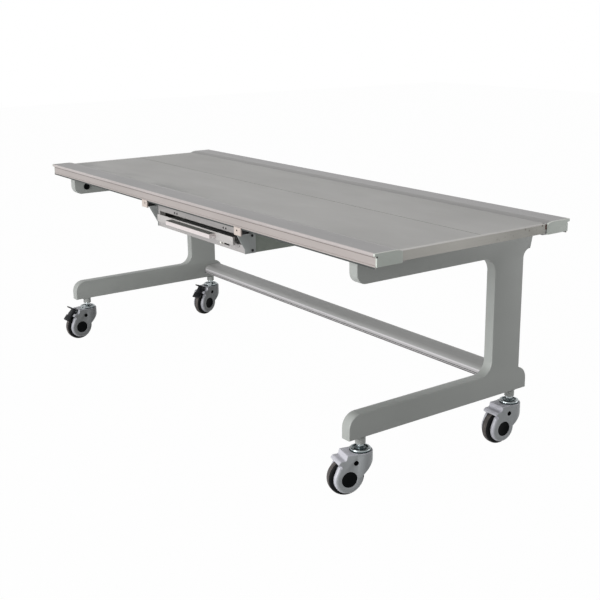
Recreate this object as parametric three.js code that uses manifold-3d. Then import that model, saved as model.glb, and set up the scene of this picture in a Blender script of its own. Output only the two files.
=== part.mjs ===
// Mobile radiography table: a radiolucent top in aluminium rails, on two C-shaped end frames with swivel
// casters, and a cassette tray in a carriage that hangs from the rails and slides along under the top.
// Millimetres, +Z up, +X along the table, -Y the open front where the tray pulls out.
import * as THREE from "three";
import { mergeVertices } from "three/addons/utils/BufferGeometryUtils.js";
import Module from "manifold-3d";

// Table top
const TABLE_LENGTH = 2000; // over the corner caps
const TABLE_WIDTH = 700; // over the rails' outer faces
const TABLE_HEIGHT = 690; // floor to the rails' top
const FIT = 0.3; // clearance between pieces that seat in each other
const PANEL_THICKNESS = 16;
const PANEL_DROP = 5; // rail top down to the panel's surface

// Long rails, extruded
const RAIL_HEIGHT = 36;
const RAIL_WIDTH = 84; // outer face to the panel's edge
const RAIL_WALL = 3;
const RAIL_FLOOR = 4; // under the inner chamber
const RAIL_SLOPE = 24; // width of the curved fall to the panel
const LIP_OVERHANG = 7.5; // bead that stands out past the outer face
const LIP_HEIGHT = 9;
const LIP_ROUND = 3;
const LEDGE_WIDTH = 14; // shelf under the panel's edge
const TRACK_INSET = 28; // outer face to the middle of the slot underneath
const TRACK_MOUTH = 16;
const TRACK_WIDTH = 28;
const TRACK_HEIGHT = 7;

// Corner caps and end strips
const CAP_THICKNESS = 5;
const CAP_CORNER = 3;
const STRIP_SETBACK = 3; // behind the caps' outer faces
const STRIP_HEIGHT = 26.5;
const STRIP_FLANGE = 13;
const STRIP_SHEET = 1.5;

// End frames
const FRAME_INSET = 104; // table's end to a frame's outer face
const FRAME_THICKNESS = 34;
const FRAME_EDGE = 5; // rounding along every edge
const ARM_HEIGHT = 71;
const ARM_CORNER = 30;
const ARM_FRONT_SETBACK = 22; // from the front rail's outer face
const ARM_REAR_SETBACK = 19; // from the rear rail's outer face
const ARM_REAR_HEIGHT = 63; // the arm is shallower behind the column
const ARM_REAR_LEAN = 15; // how far its rear end leans in on the way down
const ARM_REAR_FILLET = 25; // from its underside into the column
const COLUMN_DEPTH = 115;
const COLUMN_REAR_SETBACK = 61;
const CORNER_FILLET = 42; // inside corners of the C
const FOOT_HEIGHT = 70;
const FOOT_CORNER = 40;
const FOOT_FRONT_OVERHANG = 3; // past the front rail's outer face
const FOOT_REAR_SETBACK = 29;
const BOSS_RADIUS = 14.7; // caster boss welded under the foot
const BOSS_HEIGHT = 21;
const BOSS_ROOT = 8; // depth of the weld inside the foot
const PLUG_RADIUS = 12; // black plug on the arm's inner face
const PLUG_HEIGHT = 4;
const PLUG_INSET = 49; // from the arm's front end
const PLUG_RISE = 27; // above the arm's underside

// Stretcher between the feet
const STRETCHER_WIDTH = 82;
const STRETCHER_HEIGHT = 38;
const STRETCHER_SIDE = 15; // straight part of its sides
const STRETCHER_CROWN = 20; // rounding between side and top
const STRETCHER_RISE = 19; // above the foot's underside
const STRETCHER_WALL = 3.5;
const STRETCHER_GROOVE = 2; // width and depth of the two lines along its front

// Casters
const STEM_SETBACK = 50; // foot's end to the swivel axis
const WHEEL_RADIUS = 52.5;
const WHEEL_WIDTH = 27;
const WHEEL_HUB_RADIUS = 14;
const WHEEL_SIDES = 32;
const TREAD_FLAT = 12;
const TREAD_SHOULDER = 6;
const TRAIL = 43.5; // swivel axis to axle
const AXLE_RADIUS = 6;
const HUB_CAP_RADIUS = 22.3;
const HUB_CAP_DEPTH = 2.8;
const FORK_HALF_WIDTH = 29.5;
const FORK_EDGE = 3; // rounding along the upper body's edges
const FORK_DISC_EDGE = 7; // and round the discs' rims
const FORK_CROWN = 17; // fork's top above the wheel's top
const FORK_DISC_RADIUS = 41.5;
const BARREL_RADIUS = 34;
const BARREL_DEPTH = 25; // upright part of the swivel barrel
const BACK_AIM = 30; // the sloping back heads for a point this far behind the axle
const WHEEL_SLOT_GAP = 3.5; // round the tread
const WHEEL_SIDE_GAP = 2.5; // beside the tread
const VISOR_REACH = 49.5; // upper step, from the swivel axis
const VISOR_DRAFT = 2;
const VISOR_DROP = 14; // upper step down to the lip
const LIP_REACH = 75;
const LIP_CHAMFER = 6;
const SIDE_HOLE_RADIUS = 7;
const SIDE_HOLE_DEPTH = 6;
const SIDE_HOLE_REACH = 24.3;
const SIDE_HOLE_DROP = 24.8; // below the fork's top
const KINGPIN_RADIUS = 8;
const KINGPIN_DEPTH = 24; // below the fork's top
const HEAD_RADIUS = 29;
const HEAD_RIM = 13; // height of the rounded rim
const HEAD_SEAT = 6; // depth of the head's seat in the fork
const HEAD_GAP = 1; // round the head in its seat
const HEAD_DISH = 3;
const NUT_RADIUS = 11;
const NUT_RISE = 19; // nut's top above the fork's top
const CASTER_TRAILS = {
  front_right: 255.5, // degrees from +X to the side that the wheel trails on
  rear_right: 266.2,
  front_left: 273.3,
  rear_left: 287.5,
};

// Brake pedals of the two left casters; points are given from the swivel axis and the fork's top
const PEDAL_HALF_WIDTH = 14;
const PEDAL_TREAD_HALF = 20; // the tread plate is wider than the rest
const PEDAL_SIDE_GAP = 2;
const PEDAL_HUB_RADIUS = 8;
const PEDAL_PIN_RADIUS = 3;
const PEDAL_PIVOT_REACH = 56;
const PEDAL_PIVOT_DROP = 6.75; // below the fork's top
const PEDAL_LUG_RADIUS = 5.5; // lug of the fork between the pedal's two knuckles
const PEDAL_LUG_HALF = 5;
const PEDAL_LUG_GAP = 0.8;
const PEDAL_SHOE_GAP = 2.2; // pedal's shoe to the wheel's tread
const PEDAL_SHOE_START = 70; // degrees round the wheel, from the trail
const PEDAL_SHOE_END = 36;
const PEDAL_TIP = [97.5, -35.5];
const PEDAL_TIP_SHEET = 3.5;
const PEDAL_TREAD_TOP = [83, -19];
const PEDAL_SHOULDER = [72, -6.5];
const PEDAL_TAB_ROOT = [66, 0];
const PEDAL_TAB_BEND = [66, 8];
const PEDAL_TAB_TIP = [82, 16];
const PEDAL_TAB_SHEET = 3;
const LOCK_PLATE_START = 20.5; // its rear edge, from the swivel axis along the trail
const LOCK_PLATE_WIDTH = 23;
const LOCK_PLATE_RISE = 16.5; // above the fork's top
const LOCK_PLATE_SHEET = 2;
const LOCK_PLATE_CORNER = 3;
const LOCK_PLATE_SIDE = 22; // its inner face, from the wheel's middle
const LOCK_PLATE_TANG = 10;
const LOCK_PLATE_DEPTH = 8;
const LOCK_PLATE_HOLE = 3.5;

// Carriage
const CARRIAGE_CENTRE = 73; // along the table, as it stands in the photo
const CARRIAGE_WIDTH = 546;
const CARRIAGE_DEPTH = 624;
const CARRIAGE_HEIGHT = 90; // rail's underside to the carriage's underside
const CARRIAGE_GAP = 6; // rail's underside to the shell's upper edge
const SHEET = 2;
const FRONT_PLATE_SETBACK = 5; // behind the brackets' lower front corners
const GLIDE_WIDTH = 37;
const GLIDE_DEPTH = 17;
const GLIDE_HEIGHT = 20; // rail's underside to the bracket's flange
const BRACKET_DEPTH = 70;
const BRACKET_FLANGE = 40;
const BRACKET_SLOPE = 31; // how far the front edge leans back
const BRACKET_TOE = 13; // upright part of the front edge
const HANGER_RADIUS = 9;
const HANGER_NECK = 7;
const HANGER_HEAD = 12;
const HANGER_HEAD_HEIGHT = 5;

// Tray, its window in the carriage's front plate, and its runners
const WINDOW_WIDTH = 489;
const WINDOW_HEIGHT = 25;
const WINDOW_SILL = 24; // above the carriage's underside
const TRAY_WIDTH = 452; // across the pan's walls
const TRAY_DEPTH = 446;
const TRAY_SHEET = 1.5;
const TRAY_RISE = 2.5; // pan's underside above the sill
const TRAY_PAN_HEIGHT = 7;
const TRAY_FLANGE = 9; // side flanges that run in the grooves
const TRAY_REACH = 22; // front plate's face to the tray front's face
const TRAY_FRONT_WIDTH = 477;
const TRAY_FRONT_HEIGHT = 25;
const TRAY_FRONT_RETURN = 8;
const RUNNER_DEPTH = 500;
const RUNNER_TOP_GAP = 3; // window's top to the runners' top
const GRID_THICKNESS = 4;
const GRID_MARGIN = 4; // shell's walls to the grid's edges
const HANDLE_LENGTH = 278;
const HANDLE_DEPTH = 22;
const HANDLE_HEIGHT = 14.5;
const HANDLE_WALL = 4;
const HANDLE_ROUND = 3;
const HANDLE_RISE = 6.5; // above the tray front's lower edge
const JAW_LENGTH = 300;
const JAW_BASE = 20;
const JAW_SHEET = 3;
const JAW_HEIGHT = 14;
const JAW_INSET = 16; // pan's wall to the jaw when open
const JAW_TRAVEL = 60;
const JAW_TONGUE = 8;
const JAW_TONGUE_SPAN = 200; // between the two guide tongues of a jaw
const JAW_FOOT = 14;
const JAW_FOOT_SHEET = 1.2;
const CATCH_SLOT_START = 135; // right of the carriage's middle
const CATCH_SLOT_LENGTH = 47;
const CATCH_SLOT_HEIGHT = 8;
const CATCH_RISE = 10; // carriage's underside to the slot
const CATCH_WIDTH = 8;
const CATCH_STUD = 6; // stands out in front of the plate
const CATCH_KEEPER = 3;

// Heights and places that follow from the sizes above
const railOuter = TABLE_WIDTH / 2;
const railBottom = TABLE_HEIGHT - RAIL_HEIGHT;
const railInner = railOuter - RAIL_WIDTH;
const panelTop = TABLE_HEIGHT - PANEL_DROP;
const panelBottom = panelTop - PANEL_THICKNESS;
const rebateFloor = panelTop - STRIP_SHEET;
const railEnd = TABLE_LENGTH / 2 - CAP_THICKNESS;
const stripFace = TABLE_LENGTH / 2 - STRIP_SETBACK;
const trackY = railOuter - TRACK_INSET;
const axleHeight = WHEEL_RADIUS * Math.cos(Math.PI / WHEEL_SIDES); // the wheel stands on a flat facet
const forkTop = axleHeight + WHEEL_RADIUS + FORK_CROWN;
const bossBottom = forkTop + NUT_RISE;
const footBottom = bossBottom + BOSS_HEIGHT;
const footTop = footBottom + FOOT_HEIGHT;
const armBottom = railBottom - ARM_HEIGHT;
const frameOuter = TABLE_LENGTH / 2 - FRAME_INSET;
const frameInner = frameOuter - FRAME_THICKNESS;
const footFront = -railOuter - FOOT_FRONT_OVERHANG;
const footRear = railOuter - FOOT_REAR_SETBACK;
const stemX = frameOuter - FRAME_THICKNESS / 2;
const stemFront = footFront + STEM_SETBACK;
const stemRear = footRear - STEM_SETBACK;
const slotHalf = WHEEL_WIDTH / 2 + WHEEL_SIDE_GAP;

// Finishes
function finish(color, roughness, metalness) {
  return new THREE.MeshStandardMaterial({ color, roughness, metalness });
}
const greyLaminate = finish(0xa3a3a1, 0.6, 0);
const aluminium = finish(0xb9b1af, 0.4, 0.9);
const greyPaint = finish(0x868a83, 0.45, 0.1);
const palePlastic = finish(0x9fa5a0, 0.55, 0);
const zinc = finish(0xc3c6c8, 0.25, 1);
const forkPlastic = finish(0x8b9093, 0.5, 0);
const blackPlastic = finish(0x121415, 0.45, 0);
const treadRubber = finish(0x3c3c3d, 0.8, 0);
const lightSheet = finish(0xb4b3b0, 0.4, 0.7);
const nylon = finish(0xded2ca, 0.6, 0);
const whiteNylon = finish(0xe8e6e0, 0.5, 0);

// Joining and cutting
const wasm = await Module();
wasm.setup();
const WELD = 1e-4;

// A closed geometry as a solid that can be joined and cut.
function solid(geometry) {
  const bare = geometry.clone();
  bare.deleteAttribute("normal");
  bare.deleteAttribute("uv");
  const merged = mergeVertices(bare, WELD);
  const corners = merged.index.array;
  const kept = [];
  for (let i = 0; i < corners.length; i += 3) {
    const [a, b, c] = [corners[i], corners[i + 1], corners[i + 2]];
    if (a !== b && b !== c && c !== a) kept.push(a, b, c);
  }
  return new wasm.Manifold(
    new wasm.Mesh({
      numProp: 3,
      vertProperties: merged.attributes.position.array,
      triVerts: new Uint32Array(kept),
    }),
  );
}

// A solid back as a three.js geometry.
function geometryOf(body) {
  const { vertProperties, triVerts } = body.getMesh();
  const geometry = new THREE.BufferGeometry();
  geometry.setAttribute("position", new THREE.BufferAttribute(vertProperties, 3));
  geometry.setIndex(new THREE.BufferAttribute(triVerts, 1));
  geometry.computeVertexNormals();
  return geometry;
}

function add(parent, name, body, material) {
  const mesh = new THREE.Mesh(geometryOf(body), material);
  mesh.name = name;
  parent.add(mesh);
}

// Extrusions along each axis; the outline is drawn in the other two, and edge rounds its rim.
const ALONG_X = new THREE.Matrix4().makeBasis(
  new THREE.Vector3(0, 1, 0),
  new THREE.Vector3(0, 0, 1),
  new THREE.Vector3(1, 0, 0),
);
const ALONG_Y = new THREE.Matrix4().makeBasis(
  new THREE.Vector3(1, 0, 0),
  new THREE.Vector3(0, 0, 1),
  new THREE.Vector3(0, -1, 0),
);
const ALONG_Z = new THREE.Matrix4();

function extrude(outline, length, edge = 0, curveSegments = 6) {
  const geometry = new THREE.ExtrudeGeometry(outline, {
    depth: length - 2 * edge,
    bevelEnabled: edge > 0,
    bevelThickness: edge,
    bevelSize: edge,
    bevelOffset: -edge,
    bevelSegments: 2,
    curveSegments,
  });
  return geometry.translate(0, 0, edge);
}

function alongX(outline, from, to, edge, curveSegments) {
  const geometry = extrude(outline, to - from, edge, curveSegments);
  return solid(geometry.applyMatrix4(ALONG_X).translate(from, 0, 0));
}

function alongY(outline, from, to, edge, curveSegments) {
  const geometry = extrude(outline, to - from, edge, curveSegments);
  return solid(geometry.applyMatrix4(ALONG_Y).translate(0, to, 0));
}

function alongZ(outline, from, to, edge, curveSegments) {
  const geometry = extrude(outline, to - from, edge, curveSegments);
  return solid(geometry.applyMatrix4(ALONG_Z).translate(0, 0, from));
}

function polygon(...points) {
  return new THREE.Shape(points.map(([u, v]) => new THREE.Vector2(u, v)));
}

function rectangle(u0, v0, u1, v1) {
  return polygon([u0, v0], [u1, v0], [u1, v1], [u0, v1]);
}

function disc(u, v, radius) {
  return new THREE.Shape().absarc(u, v, radius, 0, 2 * Math.PI);
}

function box(x0, x1, y0, y1, z0, z1) {
  return alongZ(rectangle(x0, y0, x1, y1), z0, z1);
}

// A turned piece about the Z axis, from [radius, height] points listed upwards.
function turned(points, sides) {
  const profile = points.map(([radius, height]) => new THREE.Vector2(radius, height));
  return solid(new THREE.LatheGeometry(profile, sides).rotateX(Math.PI / 2));
}

// A turned piece laid along Y at a place in the XZ plane, with a flat facet underneath.
function turnedAcross(points, sides, x, z) {
  const profile = points.map(([radius, height]) => new THREE.Vector2(radius, height));
  const geometry = new THREE.LatheGeometry(profile, sides, Math.PI / sides);
  return solid(geometry.translate(x, 0, z));
}

function mirroredX(body) {
  return body.mirror([1, 0, 0]);
}

function mirroredY(body) {
  return body.mirror([0, 1, 0]);
}

const table = new THREE.Group();

// Table top
function railTopOutline() {
  const outline = new THREE.Shape();
  const face = -railOuter;
  const nose = face - LIP_OVERHANG;
  const lipBottom = TABLE_HEIGHT - LIP_HEIGHT;
  outline.moveTo(face, lipBottom);
  outline.lineTo(nose + LIP_ROUND, lipBottom);
  outline.absarc(nose + LIP_ROUND, lipBottom + LIP_ROUND, LIP_ROUND, 1.5 * Math.PI, Math.PI, true);
  outline.absarc(nose + LIP_ROUND, TABLE_HEIGHT - LIP_ROUND, LIP_ROUND, Math.PI, Math.PI / 2, true);
  outline.lineTo(-railInner - RAIL_SLOPE, TABLE_HEIGHT);
  outline.quadraticCurveTo(-railInner - RAIL_SLOPE / 3, TABLE_HEIGHT, -railInner, panelTop);
  return outline;
}

// The rail's section has two closed chambers, a shelf for the panel and a T-slot underneath.
function railOutline() {
  const outline = railTopOutline();
  const mouth = TRACK_MOUTH / 2;
  const cavity = TRACK_WIDTH / 2;
  const slotTop = railBottom + RAIL_WALL + TRACK_HEIGHT;
  outline.lineTo(-railInner, panelBottom);
  outline.lineTo(-railInner + LEDGE_WIDTH, panelBottom);
  outline.lineTo(-railInner + LEDGE_WIDTH, railBottom);
  outline.lineTo(-trackY + mouth, railBottom);
  outline.lineTo(-trackY + mouth, railBottom + RAIL_WALL);
  outline.lineTo(-trackY + cavity, railBottom + RAIL_WALL);
  outline.lineTo(-trackY + cavity, slotTop);
  outline.lineTo(-trackY - cavity, slotTop);
  outline.lineTo(-trackY - cavity, railBottom + RAIL_WALL);
  outline.lineTo(-trackY - mouth, railBottom + RAIL_WALL);
  outline.lineTo(-trackY - mouth, railBottom);
  outline.lineTo(-railOuter, railBottom);
  const chamberTop = panelTop - RAIL_WALL;
  const divide = -trackY + cavity + RAIL_WALL;
  outline.holes.push(
    rectangle(-railOuter + RAIL_WALL, slotTop + RAIL_WALL, divide - RAIL_WALL, chamberTop),
    rectangle(divide, railBottom + RAIL_FLOOR, -railInner - RAIL_WALL, chamberTop),
  );
  return outline;
}

function capOutline() {
  const outline = railTopOutline();
  const low = railBottom + CAP_CORNER;
  outline.lineTo(-railInner, low);
  outline.absarc(-railInner - CAP_CORNER, low, CAP_CORNER, 0, -Math.PI / 2, true);
  outline.lineTo(-railOuter, railBottom);
  return outline;
}

// The panel's ends are rebated, so that the end strips lie flush with its surface.
function panelOutline() {
  const end = stripFace - STRIP_SHEET;
  const step = stripFace - STRIP_FLANGE - FIT;
  return polygon(
    [-end, panelBottom],
    [end, panelBottom],
    [end, rebateFloor],
    [step, rebateFloor],
    [step, panelTop],
    [-step, panelTop],
    [-step, rebateFloor],
    [-end, rebateFloor],
  );
}

function addTableTop() {
  const panelSide = railInner - FIT;
  add(table, "tabletop_panel", alongY(panelOutline(), -panelSide, panelSide), greyLaminate);

  const frontRail = alongX(railOutline(), -railEnd, railEnd, 0, 3);
  add(table, "front_rail", frontRail, aluminium);
  add(table, "rear_rail", mirroredY(frontRail), aluminium);

  const cap = alongX(capOutline(), railEnd, TABLE_LENGTH / 2, 0, 3);
  add(table, "front_right_cap", cap, palePlastic);
  add(table, "front_left_cap", mirroredX(cap), palePlastic);
  add(table, "rear_right_cap", mirroredY(cap), palePlastic);
  add(table, "rear_left_cap", mirroredX(mirroredY(cap)), palePlastic);

  const bottom = panelTop - STRIP_HEIGHT;
  const angle = polygon(
    [stripFace, bottom],
    [stripFace, panelTop],
    [stripFace - STRIP_FLANGE, panelTop],
    [stripFace - STRIP_FLANGE, rebateFloor],
    [stripFace - STRIP_SHEET, rebateFloor],
    [stripFace - STRIP_SHEET, bottom],
  );
  const strip = alongY(angle, -panelSide, panelSide);
  add(table, "right_end_strip", strip, aluminium);
  add(table, "left_end_strip", mirroredX(strip), aluminium);
}

// End frames: foot, column and upper arm in one C, with a boss for each caster.
function frameOutline() {
  const armFront = -railOuter + ARM_FRONT_SETBACK;
  const armRear = railOuter - ARM_REAR_SETBACK;
  const columnRear = railOuter - COLUMN_REAR_SETBACK;
  const columnFront = columnRear - COLUMN_DEPTH;
  const quarter = Math.PI / 2;
  const outline = new THREE.Shape();
  outline.moveTo(footFront, footBottom);
  outline.lineTo(footRear, footBottom);
  const footRound = footRear - FOOT_CORNER;
  const footEnd = Math.acos(Math.max(0, columnRear - footRound) / FOOT_CORNER);
  outline.absarc(footRound, footTop - FOOT_CORNER, FOOT_CORNER, 0, footEnd, false);
  outline.lineTo(columnRear, footTop);
  const rearLow = railBottom - ARM_REAR_HEIGHT;
  const rearFillet = columnRear + ARM_REAR_FILLET;
  outline.absarc(rearFillet, rearLow - ARM_REAR_FILLET, ARM_REAR_FILLET, 2 * quarter, quarter, true);
  outline.lineTo(armRear - ARM_REAR_LEAN, rearLow);
  outline.lineTo(armRear, railBottom);
  outline.lineTo(armFront, railBottom);
  outline.absarc(armFront + ARM_CORNER, armBottom + ARM_CORNER, ARM_CORNER, 2 * quarter, 3 * quarter, false);
  const inner = columnFront - CORNER_FILLET;
  outline.absarc(inner, armBottom - CORNER_FILLET, CORNER_FILLET, quarter, 0, true);
  outline.absarc(inner, footTop + CORNER_FILLET, CORNER_FILLET, 0, -quarter, true);
  outline.absarc(footFront + FOOT_CORNER, footTop - FOOT_CORNER, FOOT_CORNER, quarter, 2 * quarter, false);
  return outline;
}

function addEndFrames() {
  let frame = alongX(frameOutline(), frameInner, frameOuter, FRAME_EDGE, 3);
  for (const stemY of [stemFront, stemRear]) {
    const boss = alongZ(disc(stemX, stemY, BOSS_RADIUS), bossBottom, footBottom + BOSS_ROOT, 0, 12);
    frame = frame.add(boss);
  }
  add(table, "right_end_frame", frame, greyPaint);
  add(table, "left_end_frame", mirroredX(frame), greyPaint);

  const plugY = -railOuter + ARM_FRONT_SETBACK + PLUG_INSET;
  const plugFace = frameInner - PLUG_HEIGHT;
  const plug = alongX(disc(plugY, armBottom + PLUG_RISE, PLUG_RADIUS), plugFace, frameInner, 0, 8);
  add(table, "right_arm_plug", plug, blackPlastic);
  add(table, "left_arm_plug", mirroredX(plug), blackPlastic);
}

// Stretcher: a domed hollow section with two lines cut along its front face.
function stretcherOutline() {
  const rear = footRear;
  const front = rear - STRETCHER_WIDTH;
  const bottom = footBottom + STRETCHER_RISE;
  const side = bottom + STRETCHER_SIDE;
  const top = bottom + STRETCHER_HEIGHT;
  const shoulder = top - (STRETCHER_HEIGHT - STRETCHER_SIDE) / 6;
  const outline = new THREE.Shape();
  outline.moveTo(front, bottom);
  outline.lineTo(rear, bottom);
  outline.lineTo(rear, side);
  outline.quadraticCurveTo(rear, shoulder, rear - STRETCHER_CROWN, shoulder);
  outline.quadraticCurveTo((front + rear) / 2, top + (top - shoulder), front + STRETCHER_CROWN, shoulder);
  outline.quadraticCurveTo(front, shoulder, front, side);
  for (const share of [2 / 3, 1 / 3]) {
    const level = bottom + share * STRETCHER_SIDE;
    outline.lineTo(front, level + STRETCHER_GROOVE / 2);
    outline.lineTo(front + STRETCHER_GROOVE, level + STRETCHER_GROOVE / 2);
    outline.lineTo(front + STRETCHER_GROOVE, level - STRETCHER_GROOVE / 2);
    outline.lineTo(front, level - STRETCHER_GROOVE / 2);
  }
  const wall = STRETCHER_WALL + STRETCHER_GROOVE;
  outline.holes.push(
    polygon(
      [front + wall, bottom + STRETCHER_WALL],
      [rear - wall, bottom + STRETCHER_WALL],
      [rear - wall, side],
      [rear - STRETCHER_CROWN, shoulder - STRETCHER_WALL],
      [front + STRETCHER_CROWN, shoulder - STRETCHER_WALL],
      [front + wall, side],
    ),
  );
  return outline;
}

// Swivel head: dished zinc cup with a hex nut above and the kingpin below. It is fixed to the boss.
function swivelHead() {
  const seat = forkTop - HEAD_SEAT + FIT;
  const rim = seat + HEAD_RIM;
  const round = HEAD_RIM / 4;
  const cup = turned(
    [
      [0, forkTop - KINGPIN_DEPTH],
      [KINGPIN_RADIUS, forkTop - KINGPIN_DEPTH],
      [KINGPIN_RADIUS, seat],
      [HEAD_RADIUS - round, seat],
      [HEAD_RADIUS, seat + round],
      [HEAD_RADIUS, rim - round],
      [HEAD_RADIUS - round, rim],
      [HEAD_RADIUS - 2 * round, rim],
      [NUT_RADIUS + round, rim - HEAD_DISH],
      [0, rim - HEAD_DISH],
    ],
    20,
  );
  const corners = [0, 1, 2, 3, 4, 5].map((k) => [
    NUT_RADIUS * Math.cos((k * Math.PI) / 3),
    NUT_RADIUS * Math.sin((k * Math.PI) / 3),
  ]);
  return cup.add(alongZ(polygon(...corners), rim - 2 * HEAD_DISH, bossBottom));
}

// Fork's upper body seen from the side: barrel, sloping back, and a visor with a lip over the wheel.
function forkOutline() {
  const lipTop = forkTop - VISOR_DROP;
  return polygon(
    [-BARREL_RADIUS, forkTop],
    [-BARREL_RADIUS, forkTop - BARREL_DEPTH],
    [TRAIL - BACK_AIM, axleHeight],
    [TRAIL + BACK_AIM, axleHeight],
    [LIP_REACH, lipTop - LIP_CHAMFER],
    [LIP_REACH - LIP_CHAMFER, lipTop],
    [VISOR_REACH + VISOR_DRAFT, lipTop],
    [VISOR_REACH, forkTop],
  );
}

function across(x, z, radius, from, to, segments) {
  return alongY(disc(x, z, radius), from, to, 0, segments);
}

// Fork: a round barrel and two cheeks that end in discs over the wheel, moulded in one.
function fork(braked) {
  const half = FORK_HALF_WIDTH;
  const upper = alongY(forkOutline(), -BARREL_RADIUS, BARREL_RADIUS);
  const barrel = turned(
    [
      [0, axleHeight],
      [BARREL_RADIUS, axleHeight],
      [BARREL_RADIUS, forkTop - FORK_EDGE / 2],
      [BARREL_RADIUS - FORK_EDGE / 2, forkTop],
      [0, forkTop],
    ],
    24,
  );
  let body = alongY(disc(TRAIL, axleHeight, FORK_DISC_RADIUS), -half, half, FORK_DISC_EDGE, 10);
  const plan = box(0, 2 * LIP_REACH, -half, half, 0, forkTop).add(barrel);
  body = body.add(alongY(forkOutline(), -half, half, FORK_EDGE).intersect(plan));
  body = body.add(barrel.intersect(upper));
  body = body.subtract(across(TRAIL, axleHeight, WHEEL_RADIUS + WHEEL_SLOT_GAP, -slotHalf, slotHalf, 12));
  const seat = disc(0, 0, HEAD_RADIUS + HEAD_GAP);
  body = body.subtract(alongZ(seat, forkTop - HEAD_SEAT, forkTop + HEAD_SEAT, 0, 12));
  body = body.subtract(
    alongZ(disc(0, 0, KINGPIN_RADIUS + FIT), forkTop - KINGPIN_DEPTH - FIT, forkTop, 0, 8),
  );
  body = body.subtract(across(TRAIL, axleHeight, AXLE_RADIUS + FIT, -half, half, 6));
  const holeZ = forkTop - SIDE_HOLE_DROP;
  for (const side of [-1, 1]) {
    const ends = (depth) => [side * half, side * (half - depth)].sort((a, b) => a - b);
    const capSeat = ends(HUB_CAP_DEPTH + 2 * FIT);
    body = body.subtract(across(TRAIL, axleHeight, HUB_CAP_RADIUS + FIT, ...capSeat, 12));
    body = body.subtract(across(SIDE_HOLE_REACH, holeZ, SIDE_HOLE_RADIUS, ...ends(SIDE_HOLE_DEPTH), 5));
  }
  if (braked) {
    const gap = PEDAL_HALF_WIDTH + PEDAL_SIDE_GAP;
    const back = PEDAL_PIVOT_REACH - PEDAL_HUB_RADIUS - PEDAL_SIDE_GAP;
    const pivotZ = forkTop - PEDAL_PIVOT_DROP;
    const lug = PEDAL_LUG_RADIUS;
    const lugHalf = PEDAL_LUG_HALF;
    body = body.subtract(box(back, 2 * LIP_REACH, -gap, gap, axleHeight, forkTop + 1));
    body = body.add(box(back - lug, PEDAL_PIVOT_REACH, -lugHalf, lugHalf, pivotZ - lug, pivotZ + lug));
    body = body.add(across(PEDAL_PIVOT_REACH, pivotZ, lug, -lugHalf, lugHalf, 8));
    body = body.subtract(across(PEDAL_PIVOT_REACH, pivotZ, PEDAL_PIN_RADIUS + FIT, -gap, gap, 5));
    body = body.subtract(lockPlate(FIT));
  }
  return body;
}

function axle() {
  const face = FORK_HALF_WIDTH - FIT;
  const inner = face - HUB_CAP_DEPTH;
  const profile = [
    [0, -face],
    [HUB_CAP_RADIUS, -face],
    [HUB_CAP_RADIUS, -inner],
    [AXLE_RADIUS, -inner],
    [AXLE_RADIUS, inner],
    [HUB_CAP_RADIUS, inner],
    [HUB_CAP_RADIUS, face],
    [0, face],
  ];
  return turnedAcross(profile, 20, TRAIL, axleHeight);
}

function wheel() {
  const bore = AXLE_RADIUS + FIT;
  const hub = slotHalf - FIT;
  const side = WHEEL_WIDTH / 2;
  const flat = TREAD_FLAT / 2;
  const half = [
    [bore, hub],
    [WHEEL_HUB_RADIUS, hub],
    [WHEEL_HUB_RADIUS, side],
    [WHEEL_RADIUS - TREAD_SHOULDER, side],
    [WHEEL_RADIUS - TREAD_SHOULDER / 4, (side + flat) / 2 + 1],
    [WHEEL_RADIUS, flat],
  ];
  const lower = half.map(([radius, reach]) => [radius, -reach]);
  const profile = [...lower, ...half.reverse(), lower[0]];
  return turnedAcross(profile, WHEEL_SIDES, TRAIL, axleHeight);
}

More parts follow.
